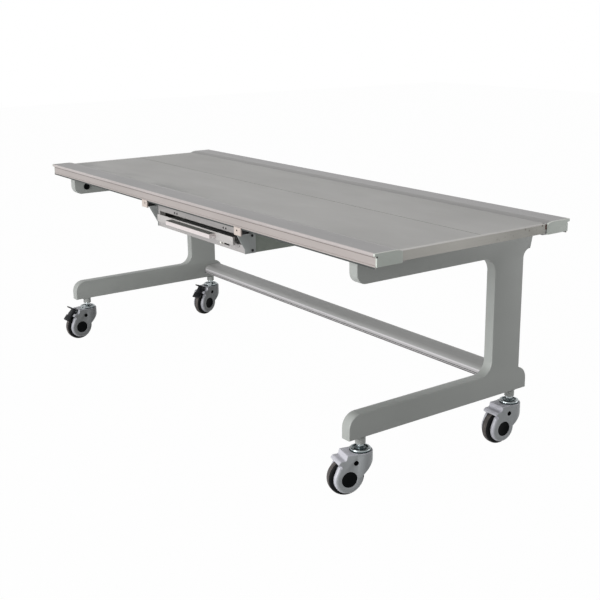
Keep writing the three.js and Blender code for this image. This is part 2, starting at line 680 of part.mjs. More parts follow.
// Brake pedal: two knuckles on a pin, a shoe that follows the tread, a plate to step on and a release tab.
function pedal() {
  const pivotX = PEDAL_PIVOT_REACH;
  const pivotZ = forkTop - PEDAL_PIVOT_DROP;
  const hub = PEDAL_HUB_RADIUS;
  const half = PEDAL_HALF_WIDTH;
  const shoe = WHEEL_RADIUS + PEDAL_SHOE_GAP;
  const shoeStart = THREE.MathUtils.degToRad(PEDAL_SHOE_START);
  const shoeEnd = THREE.MathUtils.degToRad(PEDAL_SHOE_END);
  const at = ([reach, rise], drop = 0) => [reach, forkTop + rise - drop];
  const outline = new THREE.Shape();
  outline.absarc(TRAIL, axleHeight, shoe, shoeStart, shoeEnd, true);
  outline.lineTo(...at(PEDAL_TIP, PEDAL_TIP_SHEET));
  outline.lineTo(...at(PEDAL_TIP));
  outline.lineTo(...at(PEDAL_SHOULDER));
  outline.lineTo(...at(PEDAL_TAB_ROOT));
  outline.lineTo(...at(PEDAL_TAB_BEND, PEDAL_TAB_SHEET));
  outline.lineTo(...at(PEDAL_TAB_TIP, PEDAL_TAB_SHEET));
  outline.lineTo(...at(PEDAL_TAB_TIP));
  outline.lineTo(...at(PEDAL_TAB_BEND));
  outline.absarc(pivotX, pivotZ, hub, Math.PI / 2, 1.5 * Math.PI, false);
  const toe = TRAIL + shoe * Math.cos(shoeEnd);
  const toeZ = axleHeight + shoe * Math.sin(shoeEnd);
  const plate = polygon(
    [toe, toeZ],
    at(PEDAL_TIP, PEDAL_TIP_SHEET),
    at(PEDAL_TIP),
    at(PEDAL_TREAD_TOP),
    at(PEDAL_TREAD_TOP, 2 * PEDAL_TIP_SHEET),
  );
  let body = alongY(outline, -half, half).add(alongY(plate, -PEDAL_TREAD_HALF, PEDAL_TREAD_HALF));
  const slot = PEDAL_LUG_HALF + PEDAL_LUG_GAP;
  const pocket = PEDAL_LUG_RADIUS + PEDAL_LUG_GAP;
  body = body.subtract(across(pivotX, pivotZ, pocket, -slot, slot, 8));
  body = body.subtract(box(pivotX - 2 * hub, pivotX, -slot, slot, pivotZ - 2 * hub, pivotZ + 2 * hub));
  return body.add(across(pivotX, pivotZ, PEDAL_PIN_RADIUS, -half, half, 5));
}

// Lock plate: an upright zinc tab beside the swivel head, with a tang let into the fork's top.
function lockPlate(clearance) {
  const start = LOCK_PLATE_START;
  const end = start + LOCK_PLATE_WIDTH;
  const middle = (start + end) / 2;
  const tang = LOCK_PLATE_TANG / 2 + clearance;
  const top = forkTop + LOCK_PLATE_RISE;
  const face = polygon(
    [middle - tang, forkTop - LOCK_PLATE_DEPTH - clearance],
    [middle + tang, forkTop - LOCK_PLATE_DEPTH - clearance],
    [middle + tang, forkTop],
    [end, forkTop],
    [end, top - LOCK_PLATE_CORNER],
    [end - LOCK_PLATE_CORNER, top],
    [start + LOCK_PLATE_CORNER, top],
    [start, top - LOCK_PLATE_CORNER],
    [start, forkTop],
    [middle - tang, forkTop],
  );
  face.holes.push(disc(middle, forkTop + LOCK_PLATE_RISE / 2, LOCK_PLATE_HOLE));
  const inner = LOCK_PLATE_SIDE - clearance;
  const outer = LOCK_PLATE_SIDE + LOCK_PLATE_SHEET + clearance;
  return alongY(face, inner, outer);
}

function addCasters() {
  for (const [corner, trail] of Object.entries(CASTER_TRAILS)) {
    const x = corner.endsWith("right") ? stemX : -stemX;
    const y = corner.startsWith("front") ? stemFront : stemRear;
    const fixed = new THREE.Group();
    fixed.position.set(x, y, 0);
    table.add(fixed);
    add(fixed, corner + "_swivel_head", swivelHead(), zinc);

    const caster = new THREE.Group();
    caster.rotation.z = THREE.MathUtils.degToRad(trail);
    fixed.add(caster);
    const braked = corner.endsWith("left");
    add(caster, corner + "_fork", fork(braked), forkPlastic);
    add(caster, corner + "_axle", axle(), blackPlastic);
    add(caster, corner + "_wheel", wheel(), treadRubber);
    if (braked) {
      add(caster, corner + "_brake_pedal", pedal(), blackPlastic);
      add(caster, corner + "_lock_plate", lockPlate(0), zinc);
    }
  }
}

// Carriage: everything here is placed from the carriage's own middle.
const carriageBottom = railBottom - CARRIAGE_HEIGHT;
const carriageTop = railBottom - CARRIAGE_GAP;
const wallOuter = CARRIAGE_WIDTH / 2;
const wallInner = wallOuter - SHEET;
const shellFront = -CARRIAGE_DEPTH / 2;
const plateFace = shellFront - SHEET;
const flangeTop = railBottom - GLIDE_HEIGHT;
const flangeBottom = flangeTop - SHEET;
const sill = carriageBottom + WINDOW_SILL;
const lintel = sill + WINDOW_HEIGHT;

function addShell(carriage) {
  const channel = polygon(
    [-wallOuter, carriageBottom],
    [wallOuter, carriageBottom],
    [wallOuter, carriageTop],
    [wallInner, carriageTop],
    [wallInner, carriageBottom + SHEET],
    [-wallInner, carriageBottom + SHEET],
    [-wallInner, carriageTop],
    [-wallOuter, carriageTop],
  );
  add(carriage, "carriage_shell", alongY(channel, shellFront, -shellFront), lightSheet);

  const plate = rectangle(-wallOuter, carriageBottom, wallOuter, carriageTop);
  add(carriage, "carriage_rear_panel", alongY(plate, -shellFront, -plateFace), lightSheet);

  const front = rectangle(-wallOuter, carriageBottom, wallOuter, carriageTop);
  const catchSill = carriageBottom + CATCH_RISE;
  const catchEnd = CATCH_SLOT_START + CATCH_SLOT_LENGTH;
  front.holes.push(
    rectangle(-WINDOW_WIDTH / 2, sill, WINDOW_WIDTH / 2, lintel),
    rectangle(CATCH_SLOT_START, catchSill, catchEnd, catchSill + CATCH_SLOT_HEIGHT),
  );
  add(carriage, "carriage_front_plate", alongY(front, plateFace, shellFront), lightSheet);
}

function addHangers(carriage) {
  const toe = plateFace - FRONT_PLATE_SETBACK + SHEET;
  const tip = toe - BRACKET_SLOPE;
  const back = tip + BRACKET_DEPTH;
  const side = polygon(
    [toe, carriageBottom],
    [back, carriageBottom],
    [back, flangeTop],
    [tip, flangeTop],
    [toe, carriageBottom + BRACKET_TOE],
  );
  const plateOuter = wallOuter + SHEET;
  const flangeEnd = wallOuter + BRACKET_FLANGE;
  const flange = box(wallOuter, flangeEnd, tip, back, flangeBottom, flangeTop);
  const bracket = alongX(side, wallOuter, plateOuter).add(flange);

  const glideX = (plateOuter + flangeEnd) / 2;
  const glideFront = -railOuter;
  const glide = box(
    glideX - GLIDE_WIDTH / 2,
    glideX + GLIDE_WIDTH / 2,
    glideFront,
    glideFront + GLIDE_DEPTH,
    flangeTop,
    railBottom - FIT,
  );

  const lips = railBottom + RAIL_WALL + FIT;
  const hanger = turned(
    [
      [0, flangeTop],
      [HANGER_RADIUS, flangeTop],
      [HANGER_RADIUS, railBottom - FIT],
      [HANGER_NECK, railBottom - FIT],
      [HANGER_NECK, lips],
      [HANGER_HEAD, lips],
      [HANGER_HEAD, lips + HANGER_HEAD_HEIGHT],
      [0, lips + HANGER_HEAD_HEIGHT],
    ],
    16,
  ).translate([glideX, -trackY, 0]);

  const pieces = [
    ["hanger_bracket", bracket, lightSheet],
    ["glide_block", glide, nylon],
    ["track_hanger", hanger, blackPlastic],
  ];
  for (const [piece, body, material] of pieces) {
    add(carriage, "front_right_" + piece, body, material);
    add(carriage, "front_left_" + piece, mirroredX(body), material);
    add(carriage, "rear_right_" + piece, mirroredY(body), material);
    add(carriage, "rear_left_" + piece, mirroredX(mirroredY(body)), material);
  }
}

const trayBottom = sill + TRAY_RISE;
const trayFloor = trayBottom + TRAY_SHEET;
const trayTop = trayBottom + TRAY_PAN_HEIGHT;
const trayWall = TRAY_WIDTH / 2;
const trayFace = plateFace - TRAY_REACH;
const panFront = trayFace + SHEET;
const jawOpen = trayWall - TRAY_SHEET - JAW_INSET;

function addRunners(carriage) {
  const top = lintel + RUNNER_TOP_GAP;
  const inner = trayWall + FIT;
  const grooveBack = trayWall + TRAY_FLANGE + FIT;
  const section = polygon(
    [inner, carriageBottom + SHEET],
    [wallInner, carriageBottom + SHEET],
    [wallInner, top],
    [inner, top],
    [inner, trayTop + FIT],
    [grooveBack, trayTop + FIT],
    [grooveBack, trayTop - TRAY_SHEET - FIT],
    [inner, trayTop - TRAY_SHEET - FIT],
  );
  const runner = alongY(section, shellFront, shellFront + RUNNER_DEPTH);
  add(carriage, "right_runner", runner, aluminium);
  add(carriage, "left_runner", mirroredX(runner), aluminium);

  const half = wallInner - GRID_MARGIN;
  const gridEnd = shellFront + RUNNER_DEPTH - GRID_MARGIN;
  const grid = box(-half, half, shellFront + GRID_MARGIN, gridEnd, top, top + GRID_THICKNESS);
  add(carriage, "anti_scatter_grid", grid, aluminium);
}

function addTray(carriage) {
  const panRear = panFront + TRAY_DEPTH;
  const wallIn = trayWall - TRAY_SHEET;
  const flange = trayWall + TRAY_FLANGE;
  const section = polygon(
    [-trayWall, trayBottom],
    [trayWall, trayBottom],
    [trayWall, trayTop - TRAY_SHEET],
    [flange, trayTop - TRAY_SHEET],
    [flange, trayTop],
    [wallIn, trayTop],
    [wallIn, trayFloor],
    [-wallIn, trayFloor],
    [-wallIn, trayTop],
    [-flange, trayTop],
    [-flange, trayTop - TRAY_SHEET],
    [-trayWall, trayTop - TRAY_SHEET],
  );
  let pan = alongY(section, panFront, panRear);
  const rearWall = box(-trayWall, trayWall, panRear - TRAY_SHEET, panRear, trayBottom, trayTop);
  pan = pan.add(rearWall);
  const middle = (panFront + panRear) / 2;
  const tongueYs = [middle - JAW_TONGUE_SPAN / 2, middle + JAW_TONGUE_SPAN / 2];
  const tongueX = jawOpen - JAW_BASE / 2;
  const tongueHalf = JAW_TONGUE / 2;
  for (const y of tongueYs) {
    const slotIn = tongueX - JAW_TRAVEL - tongueHalf - FIT;
    const slotOut = tongueX + tongueHalf + FIT;
    const low = trayBottom - 1;
    const high = trayFloor + 1;
    const guide = box(slotIn, slotOut, y - tongueHalf - FIT, y + tongueHalf + FIT, low, high);
    pan = pan.subtract(guide).subtract(mirroredX(guide));
  }
  add(carriage, "tray_pan", pan, lightSheet);

  const half = TRAY_FRONT_WIDTH / 2;
  const frontLow = sill - (TRAY_FRONT_HEIGHT - WINDOW_HEIGHT) - FIT * 2;
  const plan = polygon(
    [-half, trayFace],
    [half, trayFace],
    [half, trayFace + TRAY_FRONT_RETURN],
    [half - SHEET, trayFace + TRAY_FRONT_RETURN],
    [half - SHEET, panFront],
    [-half + SHEET, panFront],
    [-half + SHEET, trayFace + TRAY_FRONT_RETURN],
    [-half, trayFace + TRAY_FRONT_RETURN],
  );
  add(carriage, "tray_front", alongZ(plan, frontLow, frontLow + TRAY_FRONT_HEIGHT), lightSheet);

  addHandle(carriage, frontLow + HANDLE_RISE);
  addJaws(carriage, middle, tongueX, tongueYs);
}

// Handle: an extruded hook, open underneath for the fingers.
function addHandle(carriage, low) {
  const top = low + HANDLE_HEIGHT;
  const front = trayFace - HANDLE_DEPTH;
  const outline = new THREE.Shape();
  outline.moveTo(front + HANDLE_WALL, low);
  outline.lineTo(front + HANDLE_WALL, top - HANDLE_WALL);
  outline.lineTo(trayFace - HANDLE_WALL, top - HANDLE_WALL);
  outline.lineTo(trayFace - HANDLE_WALL, low);
  outline.lineTo(trayFace, low);
  outline.lineTo(trayFace, top);
  outline.absarc(front + HANDLE_ROUND, top - HANDLE_ROUND, HANDLE_ROUND, Math.PI / 2, Math.PI, false);
  outline.lineTo(front, low);
  const handle = alongX(outline, -HANDLE_LENGTH / 2, HANDLE_LENGTH / 2, 0, 4);
  add(carriage, "tray_handle", handle, aluminium);
}

// Cassette jaws: angle bars on the pan's floor, each held by two T-shaped tongues through its slots.
function addJaws(carriage, middle, tongueX, tongueYs) {
  const bed = trayFloor + FIT;
  const angle = polygon(
    [jawOpen - JAW_BASE, bed],
    [jawOpen, bed],
    [jawOpen, bed + JAW_HEIGHT],
    [jawOpen - JAW_SHEET, bed + JAW_HEIGHT],
    [jawOpen - JAW_SHEET, bed + JAW_SHEET],
    [jawOpen - JAW_BASE, bed + JAW_SHEET],
  );
  let jaw = alongY(angle, middle - JAW_LENGTH / 2, middle + JAW_LENGTH / 2);
  const footTopZ = trayBottom - FIT;
  const footLowZ = footTopZ - JAW_FOOT_SHEET;
  const tongue = JAW_TONGUE / 2;
  const foot = JAW_FOOT / 2;
  for (const y of tongueYs) {
    jaw = jaw.add(box(tongueX - tongue, tongueX + tongue, y - tongue, y + tongue, footLowZ, bed + 1));
    jaw = jaw.add(box(tongueX - tongue, tongueX + tongue, y - foot, y + foot, footLowZ, footTopZ));
  }
  add(carriage, "right_jaw", jaw, lightSheet);
  add(carriage, "left_jaw", mirroredX(jaw), lightSheet);
}

// Tray catch: a white stud in the front plate's slot, held by a keeper behind the plate.
function addCatch(carriage) {
  const low = carriageBottom + CATCH_RISE + FIT;
  const high = low + CATCH_SLOT_HEIGHT - 2 * FIT;
  const start = CATCH_SLOT_START + FIT;
  const end = start + CATCH_WIDTH;
  const keeperFront = shellFront + FIT;
  const stud = box(start, end, plateFace - CATCH_STUD, keeperFront + 1, low, high);
  const margin = CATCH_KEEPER;
  const keeper = box(
    start - margin,
    end + margin,
    keeperFront,
    keeperFront + CATCH_KEEPER,
    low - margin,
    high + margin,
  );
  add(carriage, "tray_catch", stud.add(keeper), whiteNylon);
}

addTableTop();
addEndFrames();
add(table, "stretcher", alongX(stretcherOutline(), -frameInner, frameInner, 0, 5), aluminium);
addCasters();
const carriage = new THREE.Group();
carriage.position.x = CARRIAGE_CENTRE;
table.add(carriage);
addShell(carriage);
addHangers(carriage);
addRunners(carriage);
addTray(carriage);
addCatch(carriage);

// The part's frame has its origin on the floor, under the middle of the whole table.
const whole = new THREE.Box3().setFromObject(table);
const centre = whole.getCenter(new THREE.Vector3());
table.position.set(-centre.x, -centre.y, -whole.min.z);

export default table;
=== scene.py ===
import math

import bmesh
import bpy
from mathutils import Matrix, Vector


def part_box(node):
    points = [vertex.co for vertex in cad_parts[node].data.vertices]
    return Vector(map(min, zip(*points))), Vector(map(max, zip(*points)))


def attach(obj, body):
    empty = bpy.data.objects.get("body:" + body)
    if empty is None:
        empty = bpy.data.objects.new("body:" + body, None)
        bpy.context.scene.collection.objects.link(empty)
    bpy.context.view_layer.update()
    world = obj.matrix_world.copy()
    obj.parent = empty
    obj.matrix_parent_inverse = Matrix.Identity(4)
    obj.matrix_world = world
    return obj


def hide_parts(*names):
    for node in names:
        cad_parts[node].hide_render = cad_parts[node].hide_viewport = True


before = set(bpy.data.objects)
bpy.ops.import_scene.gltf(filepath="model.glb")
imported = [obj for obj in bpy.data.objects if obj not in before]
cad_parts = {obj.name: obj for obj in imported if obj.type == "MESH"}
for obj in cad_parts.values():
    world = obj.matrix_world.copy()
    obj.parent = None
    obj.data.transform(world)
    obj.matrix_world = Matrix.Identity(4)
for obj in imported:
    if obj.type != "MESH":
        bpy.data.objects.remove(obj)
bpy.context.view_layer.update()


# Camera: it stands to the right of the table's front, a little above the top.
# The long lens and the small shift give the photograph's framing.
table_low, table_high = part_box("tabletop_panel")
middle_y = (table_low.y + table_high.y) / 2
lens = bpy.data.cameras.new("camera")
lens.lens = 60.53
lens.shift_x = -0.0396
lens.shift_y = -0.0123
camera = bpy.data.objects.new("camera", lens)
camera.location = (2.83295, middle_y - 1.87379, 1.24278)
camera.rotation_euler = [math.radians(angle) for angle in (74.7245, 0.4008, 53.2651)]
bpy.context.scene.collection.objects.link(camera)
bpy.context.scene.camera = camera
bpy.context.scene.view_settings.view_transform = "Standard"


# Studio: a white room with a pale floor, two large soft lamps at the front, and weak ones above and behind.
# The floor and the walls are seen as white, also in metal, but light the table at less than half that.
class Amount:
    """A number that varies over a surface: sums on it add Math nodes."""

    def __init__(self, wiring, socket):
        self.wiring = wiring
        self.socket = socket

    def reckon(self, operation, first, second=0.0):
        return self.wiring.node("ShaderNodeMath", {"operation": operation}, {0: first, 1: second})

    def __add__(self, other):
        return self.reckon("ADD", self, other)

    def __rsub__(self, other):
        return self.reckon("SUBTRACT", other, self)

    def __mul__(self, other):
        return self.reckon("MULTIPLY", self, other)

    def __gt__(self, other):
        return self.reckon("GREATER_THAN", self, other)

    __radd__ = __add__
    __rmul__ = __mul__


class Wiring:
    """The nodes of one material, or of the room."""

    def __init__(self, tree):
        self.tree = tree
        tree.nodes.clear()

    def node(self, kind, settings=None, inputs=None, output=0):
        made = self.tree.nodes.new(kind)
        for name, value in (settings or {}).items():
            setattr(made, name, value)
        for name, value in (inputs or {}).items():
            if isinstance(value, Amount):
                self.tree.links.new(value.socket, made.inputs[name])
            else:
                made.inputs[name].default_value = value
        return Amount(self, made.outputs[output]) if made.outputs else None


def straight_view(wiring):
    """1 on rays that show the room itself: from the camera, or by way of metal or glass."""
    kinds = ("Is Camera Ray", "Is Glossy Ray", "Is Transmission Ray")
    first, second, third = [wiring.node("ShaderNodeLightPath", output=kind) for kind in kinds]
    return first + second + third


ROOM_LIGHT = 0.37
room = bpy.data.worlds.new("room")
room.use_nodes = True
bpy.context.scene.world = room
walls = Wiring(room.node_tree)
strength = ROOM_LIGHT + (1 - ROOM_LIGHT) * straight_view(walls)
glow = walls.node("ShaderNodeBackground", inputs={"Color": (1, 1, 1, 1), "Strength": strength})
walls.node("ShaderNodeOutputWorld", inputs={"Surface": glow})

FLOOR_WHITE = 0.985
floor_paint = bpy.data.materials.new("floor_paint")
floor_paint.use_nodes = True
paint = Wiring(floor_paint.node_tree)
matte = paint.node("ShaderNodeBsdfDiffuse", inputs={"Color": (0.5, 0.5, 0.5, 1)})
white = paint.node("ShaderNodeEmission", inputs={"Color": (1, 1, 1, 1), "Strength": 1.0})
seen = FLOOR_WHITE * straight_view(paint)
blend = paint.node("ShaderNodeMixShader", inputs={0: seen, 1: matte, 2: white})
paint.node("ShaderNodeOutputMaterial", inputs={"Surface": blend})

FLOOR_HALF = 12
FLOOR_DROP = 0.0005
plane = bmesh.new()
bmesh.ops.create_grid(plane, x_segments=1, y_segments=1, size=FLOOR_HALF)
bmesh.ops.translate(plane, verts=plane.verts, vec=(0, 0, -FLOOR_DROP))
floor_mesh = bpy.data.meshes.new("floor")
plane.to_mesh(floor_mesh)
plane.free()
floor_mesh.materials.append(floor_paint)
floor = bpy.data.objects.new("floor", floor_mesh)
bpy.context.scene.collection.objects.link(floor)


def lamp(name, place, aim, watts, size):
    light = bpy.data.lights.new(name, "AREA")
    light.energy = watts
    light.size = size
    fixture = bpy.data.objects.new(name, light)
    fixture.location = place
    fixture.rotation_euler = (Vector(aim) - Vector(place)).to_track_quat("-Z", "Y").to_euler()
    fixture.visible_camera = False
    bpy.context.scene.collection.objects.link(fixture)


lamp("key_lamp", place=(0.5, -5.1, 2.6), aim=(0, 0, 0.5), watts=150, size=3)
lamp("low_lamp", place=(0.3, -5, 0.6), aim=(0, 0, 0.4), watts=178, size=2.5)
lamp("overhead_lamp", place=(0, 0.4, 4.5), aim=(0, 0, 0.7), watts=19, size=3)
lamp("rear_lamp", place=(2.0, 1.8, 0.5), aim=(0.9, 0.3, 0.4), watts=7.5, size=1)


# Tabletop panel: a radiolucent board with a matte grey laminate on a brown core, let in between the rails.
# A centre line is scribed along it, and its ends are rebated for the end strips.
def tone(red, green, blue):
    """A colour in the linear values that shaders take."""
    parts = [part / 255 for part in (red, green, blue)]
    return (*[((p + 0.055) / 1.055) ** 2.4 if p > 0.04045 else p / 12.92 for p in parts], 1)


class Finish(Wiring):
    """A surface finish on Object coordinates."""

    def __init__(self, name):
        self.material = bpy.data.materials.new(name)
        self.material.use_nodes = True
        super().__init__(self.material.node_tree)
        self.place = self.node("ShaderNodeTexCoord", output="Object")

    def along(self, axis):
        return self.node("ShaderNodeSeparateXYZ", inputs={0: self.place}, output=axis)

    def mottle(self, scale, stretch=(1, 1, 1), detail=3.0, harsh=0.55):
        where = self.node("ShaderNodeMapping", inputs={"Vector": self.place, "Scale": stretch})
        inputs = {"Vector": where, "Scale": scale, "Detail": detail, "Roughness": harsh}
        return self.node("ShaderNodeTexNoise", inputs=inputs)

    def fade(self, amount, low, high):
        return self.node("ShaderNodeMapRange", inputs={"Value": amount, "From Min": low, "From Max": high})

    def shade(self, amount, *ends):
        """A mix of two colours, each given as the eye reads it, 0 to 255, or itself a mix."""
        first, second = [end if isinstance(end, Amount) else tone(*end) for end in ends]
        return self.node("ShaderNodeMix", {"data_type": "RGBA"}, {0: amount, 6: first, 7: second}, output=2)

    def relief(self, height, depth):
        return self.node("ShaderNodeBump", inputs={"Height": height, "Distance": depth, "Strength": 1.0})

    def lay(self, **sockets):
        inputs = {name.replace("_", " "): value for name, value in sockets.items()}
        shader = self.node("ShaderNodeBsdfPrincipled", inputs=inputs)
        self.node("ShaderNodeOutputMaterial", inputs={"Surface": shader})
        return self


def laminate():
    finish = Finish("grey_laminate")
    cloud = finish.fade(finish.mottle(3.5, (0.5, 1, 1), 4), 0.3, 0.7)
    grain = finish.mottle(900, detail=2)
    clean = finish.shade(cloud * 0.7 + grain * 0.3, (166, 165, 163), (183, 182, 180))
    # Painted shade: darker patches along the panel's front-left edge.
    painted_shade = finish.fade(finish.mottle(9, (0.5, 1.6, 1), 3), 0.42, 0.6)
    front_left = finish.fade(finish.along(1), -0.165, -0.235) * finish.fade(finish.along(0), 0.15, -0.3)
    colour = finish.shade(0.5 * painted_shade * front_left, clean, (128, 129, 129))
    rubbed = finish.fade(finish.mottle(14, (0.3, 1, 1), 5), 0.45, 0.75)
    normal = finish.relief(grain, 0.00004)
    rough = 0.62 - 0.1 * rubbed
    return finish.lay(Base_Color=colour, Roughness=rough, Specular_IOR_Level=0.3, Normal=normal)


def board_core():
    finish = Finish("board_core")
    fibre = finish.mottle(300, (1, 1, 4), 4)
    colour = finish.shade(fibre, (62, 26, 26), (98, 56, 48))
    return finish.lay(Base_Color=colour, Roughness=0.85, Normal=finish.relief(fibre, 0.0002))


def scribed_line():
    finish = Finish("scribed_line")
    dirt = finish.mottle(60, (0.2, 1, 1), 4)
    colour = finish.shade(dirt, (92, 90, 86), (128, 126, 121))
    return finish.lay(Base_Color=colour, Roughness=0.7 + 0.1 * dirt)


ALONG_X = Matrix(((0, 0, 1, 0), (1, 0, 0, 0), (0, 1, 0, 0), (0, 0, 0, 1)))
ALONG_Y = Matrix(((1, 0, 0, 0), (0, 0, 1, 0), (0, 1, 0, 0), (0, 0, 0, 1)))
ALONG_Z = Matrix.Identity(4)
NEAR = 0.05
SQUARE_ON = 0.9
UPWARD = 0.5
ARC_STEP = 7.5
ARC_LEAST = 4
MILLIMETRE = 0.001


def draw(start, *strokes):
    """An outline: each stroke runs straight to a point, or round a centre by some degrees."""
    shape = bmesh.new()
    tip = shape.verts.new((*start, 0))
    for stroke in (*strokes, start):
        if len(stroke) == 2:
            tip = bmesh.ops.extrude_vert_indiv(shape, verts=[tip])["verts"][0]
            tip.co = (*stroke, 0)
        else:
            centre = (stroke[0], stroke[1], 0)
            angle = math.radians(stroke[2])
            steps = max(ARC_LEAST, round(abs(stroke[2]) / ARC_STEP))
            turned = bmesh.ops.spin(
                shape, geom=[tip], cent=centre, axis=(0, 0, 1), angle=angle, steps=steps,
                use_duplicate=False,
            )
            tip = [part for part in turned["geom_last"] if isinstance(part, bmesh.types.BMVert)][0]
    bmesh.ops.remove_doubles(shape, verts=shape.verts, dist=0.01)
    bmesh.ops.edgeloop_fill(shape, edges=shape.edges)
    return shape


def pull(across, start, end, *strokes):
    """A solid pulled along an axis, from one place to another, out of an outline."""
    shape = draw(*strokes)
    bmesh.ops.translate(shape, verts=shape.verts, vec=(0, 0, start))
    pulled = bmesh.ops.extrude_face_region(shape, geom=shape.faces[:], use_keep_orig=True)
    moved = [part for part in pulled["geom"] if isinstance(part, bmesh.types.BMVert)]
    bmesh.ops.translate(shape, verts=moved, vec=(0, 0, end - start))
    bmesh.ops.transform(shape, matrix=across, verts=shape.verts)
    bmesh.ops.recalc_face_normals(shape, faces=shape.faces)
    return shape


def mirrored(*half):
    """Half of an outline, and its mirror image."""
    return (*half, *[(-x, y) for x, y in reversed(half)])


def soften(shape, radius, segments=2, sharper=40, where=None):
    """Rounds the edges that turn by more than an angle."""
    limit = math.radians(sharper)
    edges = [
        edge
        for edge in shape.edges
        if edge.is_manifold and edge.calc_face_angle() > limit and (where is None or where(edge))
    ]
    bmesh.ops.bevel(
        shape, geom=edges, offset=radius, offset_type="OFFSET", affect="EDGES", segments=segments,
        profile=0.5, material=-1, clamp_overlap=True,
    )
    return shape


def mark(shape, choose):
    """Gives some of the faces the second finish."""
    for face in shape.faces:
        face.material_index = int(choose(face, face.calc_center_median()))


def make(name, shape, finishes, body, slot, *nodes, smooth=32):
    """A finished piece, from a shape in millimetres about the table's middle line."""
    bmesh.ops.remove_doubles(shape, verts=shape.verts, dist=0.0005)
    bmesh.ops.recalc_face_normals(shape, faces=shape.faces)
    bmesh.ops.scale(shape, verts=shape.verts, vec=[MILLIMETRE] * 3)
    bmesh.ops.translate(shape, verts=shape.verts, vec=(0, middle_y, 0))
    mesh = bpy.data.meshes.new(name)
    shape.to_mesh(mesh)
    shape.free()
    mesh.shade_smooth()
    mesh.set_sharp_from_angle(angle=math.radians(smooth))
    for finish in finishes:
        mesh.materials.append(finish.material)
    piece = bpy.data.objects.new(name, mesh)
    bpy.context.scene.collection.objects.link(piece)
    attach(piece, body)
    if nodes:
        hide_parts(*nodes)


PANEL_END = 995.5
PANEL_SIDE = 265.7
PANEL_BOTTOM = 669
PANEL_TOP = 685
PANEL_STEP = 983.7
REBATE = 1.5
LINE_Y = 18
LINE_HALF = 1.3
LINE_DEPTH = 0.9

half_panel = (
    (PANEL_END, PANEL_BOTTOM), (PANEL_END, PANEL_TOP - REBATE),
    (PANEL_STEP, PANEL_TOP - REBATE), (PANEL_STEP, PANEL_TOP),
)
panel = pull(ALONG_Y, -PANEL_SIDE, PANEL_SIDE, *mirrored(*half_panel))
for cut in (LINE_Y - LINE_HALF, LINE_Y, LINE_Y + LINE_HALF):
    every = [*panel.verts, *panel.edges, *panel.faces]
    bmesh.ops.bisect_plane(panel, geom=every, plane_co=(0, cut, 0), plane_no=(0, 1, 0))
scribed = [v for v in panel.verts if abs(v.co.y - LINE_Y) < NEAR and v.co.z > PANEL_TOP - NEAR]
bmesh.ops.translate(panel, verts=scribed, vec=(0, 0, -LINE_DEPTH))
for face in panel.faces:
    middle = face.calc_center_median()
    if abs(face.normal.x) > SQUARE_ON and middle.z < PANEL_TOP - REBATE:
        face.material_index = 1
    elif abs(middle.y - LINE_Y) < LINE_HALF and middle.z > PANEL_TOP - REBATE:
        face.material_index = 2
board_finishes = (laminate(), board_core(), scribed_line())
make("tabletop_panel_board", panel, board_finishes, "table", "laminate", "tabletop_panel", smooth=10)


# Long rails: aluminium extrusions that carry the panel on a shelf, with a bead along the outer edge.
# The carriage hangs in the T-slot underneath. The outer face still has a faint rosy film on it.
RAIL_HALF = 995
RAIL_FACE = -350
RAIL_FOOT = 654
RAIL_TOP = 690
RAIL_EDGE = -266
RAIL_INNER = -252
BEAD_SHADOW_FOOT = 676.4
BEAD_Y = -354.5
BEAD_LOW = 684
BEAD_ROUND = 3
CROWN_Y = -290
CROWN_RADIUS = 60.1
CROWN_TURN = -23.53
SLOT_Y = -322
SLOT_MOUTH = 8
SLOT_CHAMBER = 14
SLOT_LIP = RAIL_FOOT + 3
SLOT_CEILING = RAIL_FOOT + 10


def aluminium(name, dark, light, rough, metal=0.55):
    finish = Finish(name)
    streaks = finish.mottle(420, (0.004, 1, 1), 3)
    cloud = finish.fade(finish.mottle(5, (0.4, 1, 1), 4), 0.3, 0.7)
    colour = finish.shade(0.5 * streaks + 0.5 * cloud, dark, light)
    normal = finish.relief(streaks, 0.00003)
    return finish.lay(Base_Color=colour, Metallic=metal, Roughness=rough + 0.12 * streaks, Normal=normal)


rail_skin = aluminium("rail_top_aluminium", (150, 149, 149), (166, 164, 164), 0.46, 0.15)
rail_film = aluminium("rail_film", (155, 148, 145), (177, 169, 166), 0.3)
# Painted shade: the front rail's top is a darker copy of the rear rail's top.
front_top_painted_shade = aluminium("front_top_shaded_aluminium", (140, 139, 139), (157, 155, 155), 0.46, 0.15)
# Painted shade: each rail's slope down to the panel is a darker band of the same aluminium.
rail_slope_painted_shade = aluminium("rail_slope_painted_shade", (126, 125, 124), (140, 139, 138), 0.38)
front_slope_painted_shade = aluminium("front_slope_painted_shade", (136, 135, 134), (150, 148, 147), 0.38)
# Painted highlight: the bead is a lighter copy of the rosy film. Painted shadow: the face just under it is
# darker.
bead_film_highlight = aluminium("bead_film_highlight", (160, 153, 151), (196, 189, 187), 0.28)
bead_painted_shadow = aluminium("bead_painted_shadow", (122, 115, 112), (138, 131, 128), 0.5)

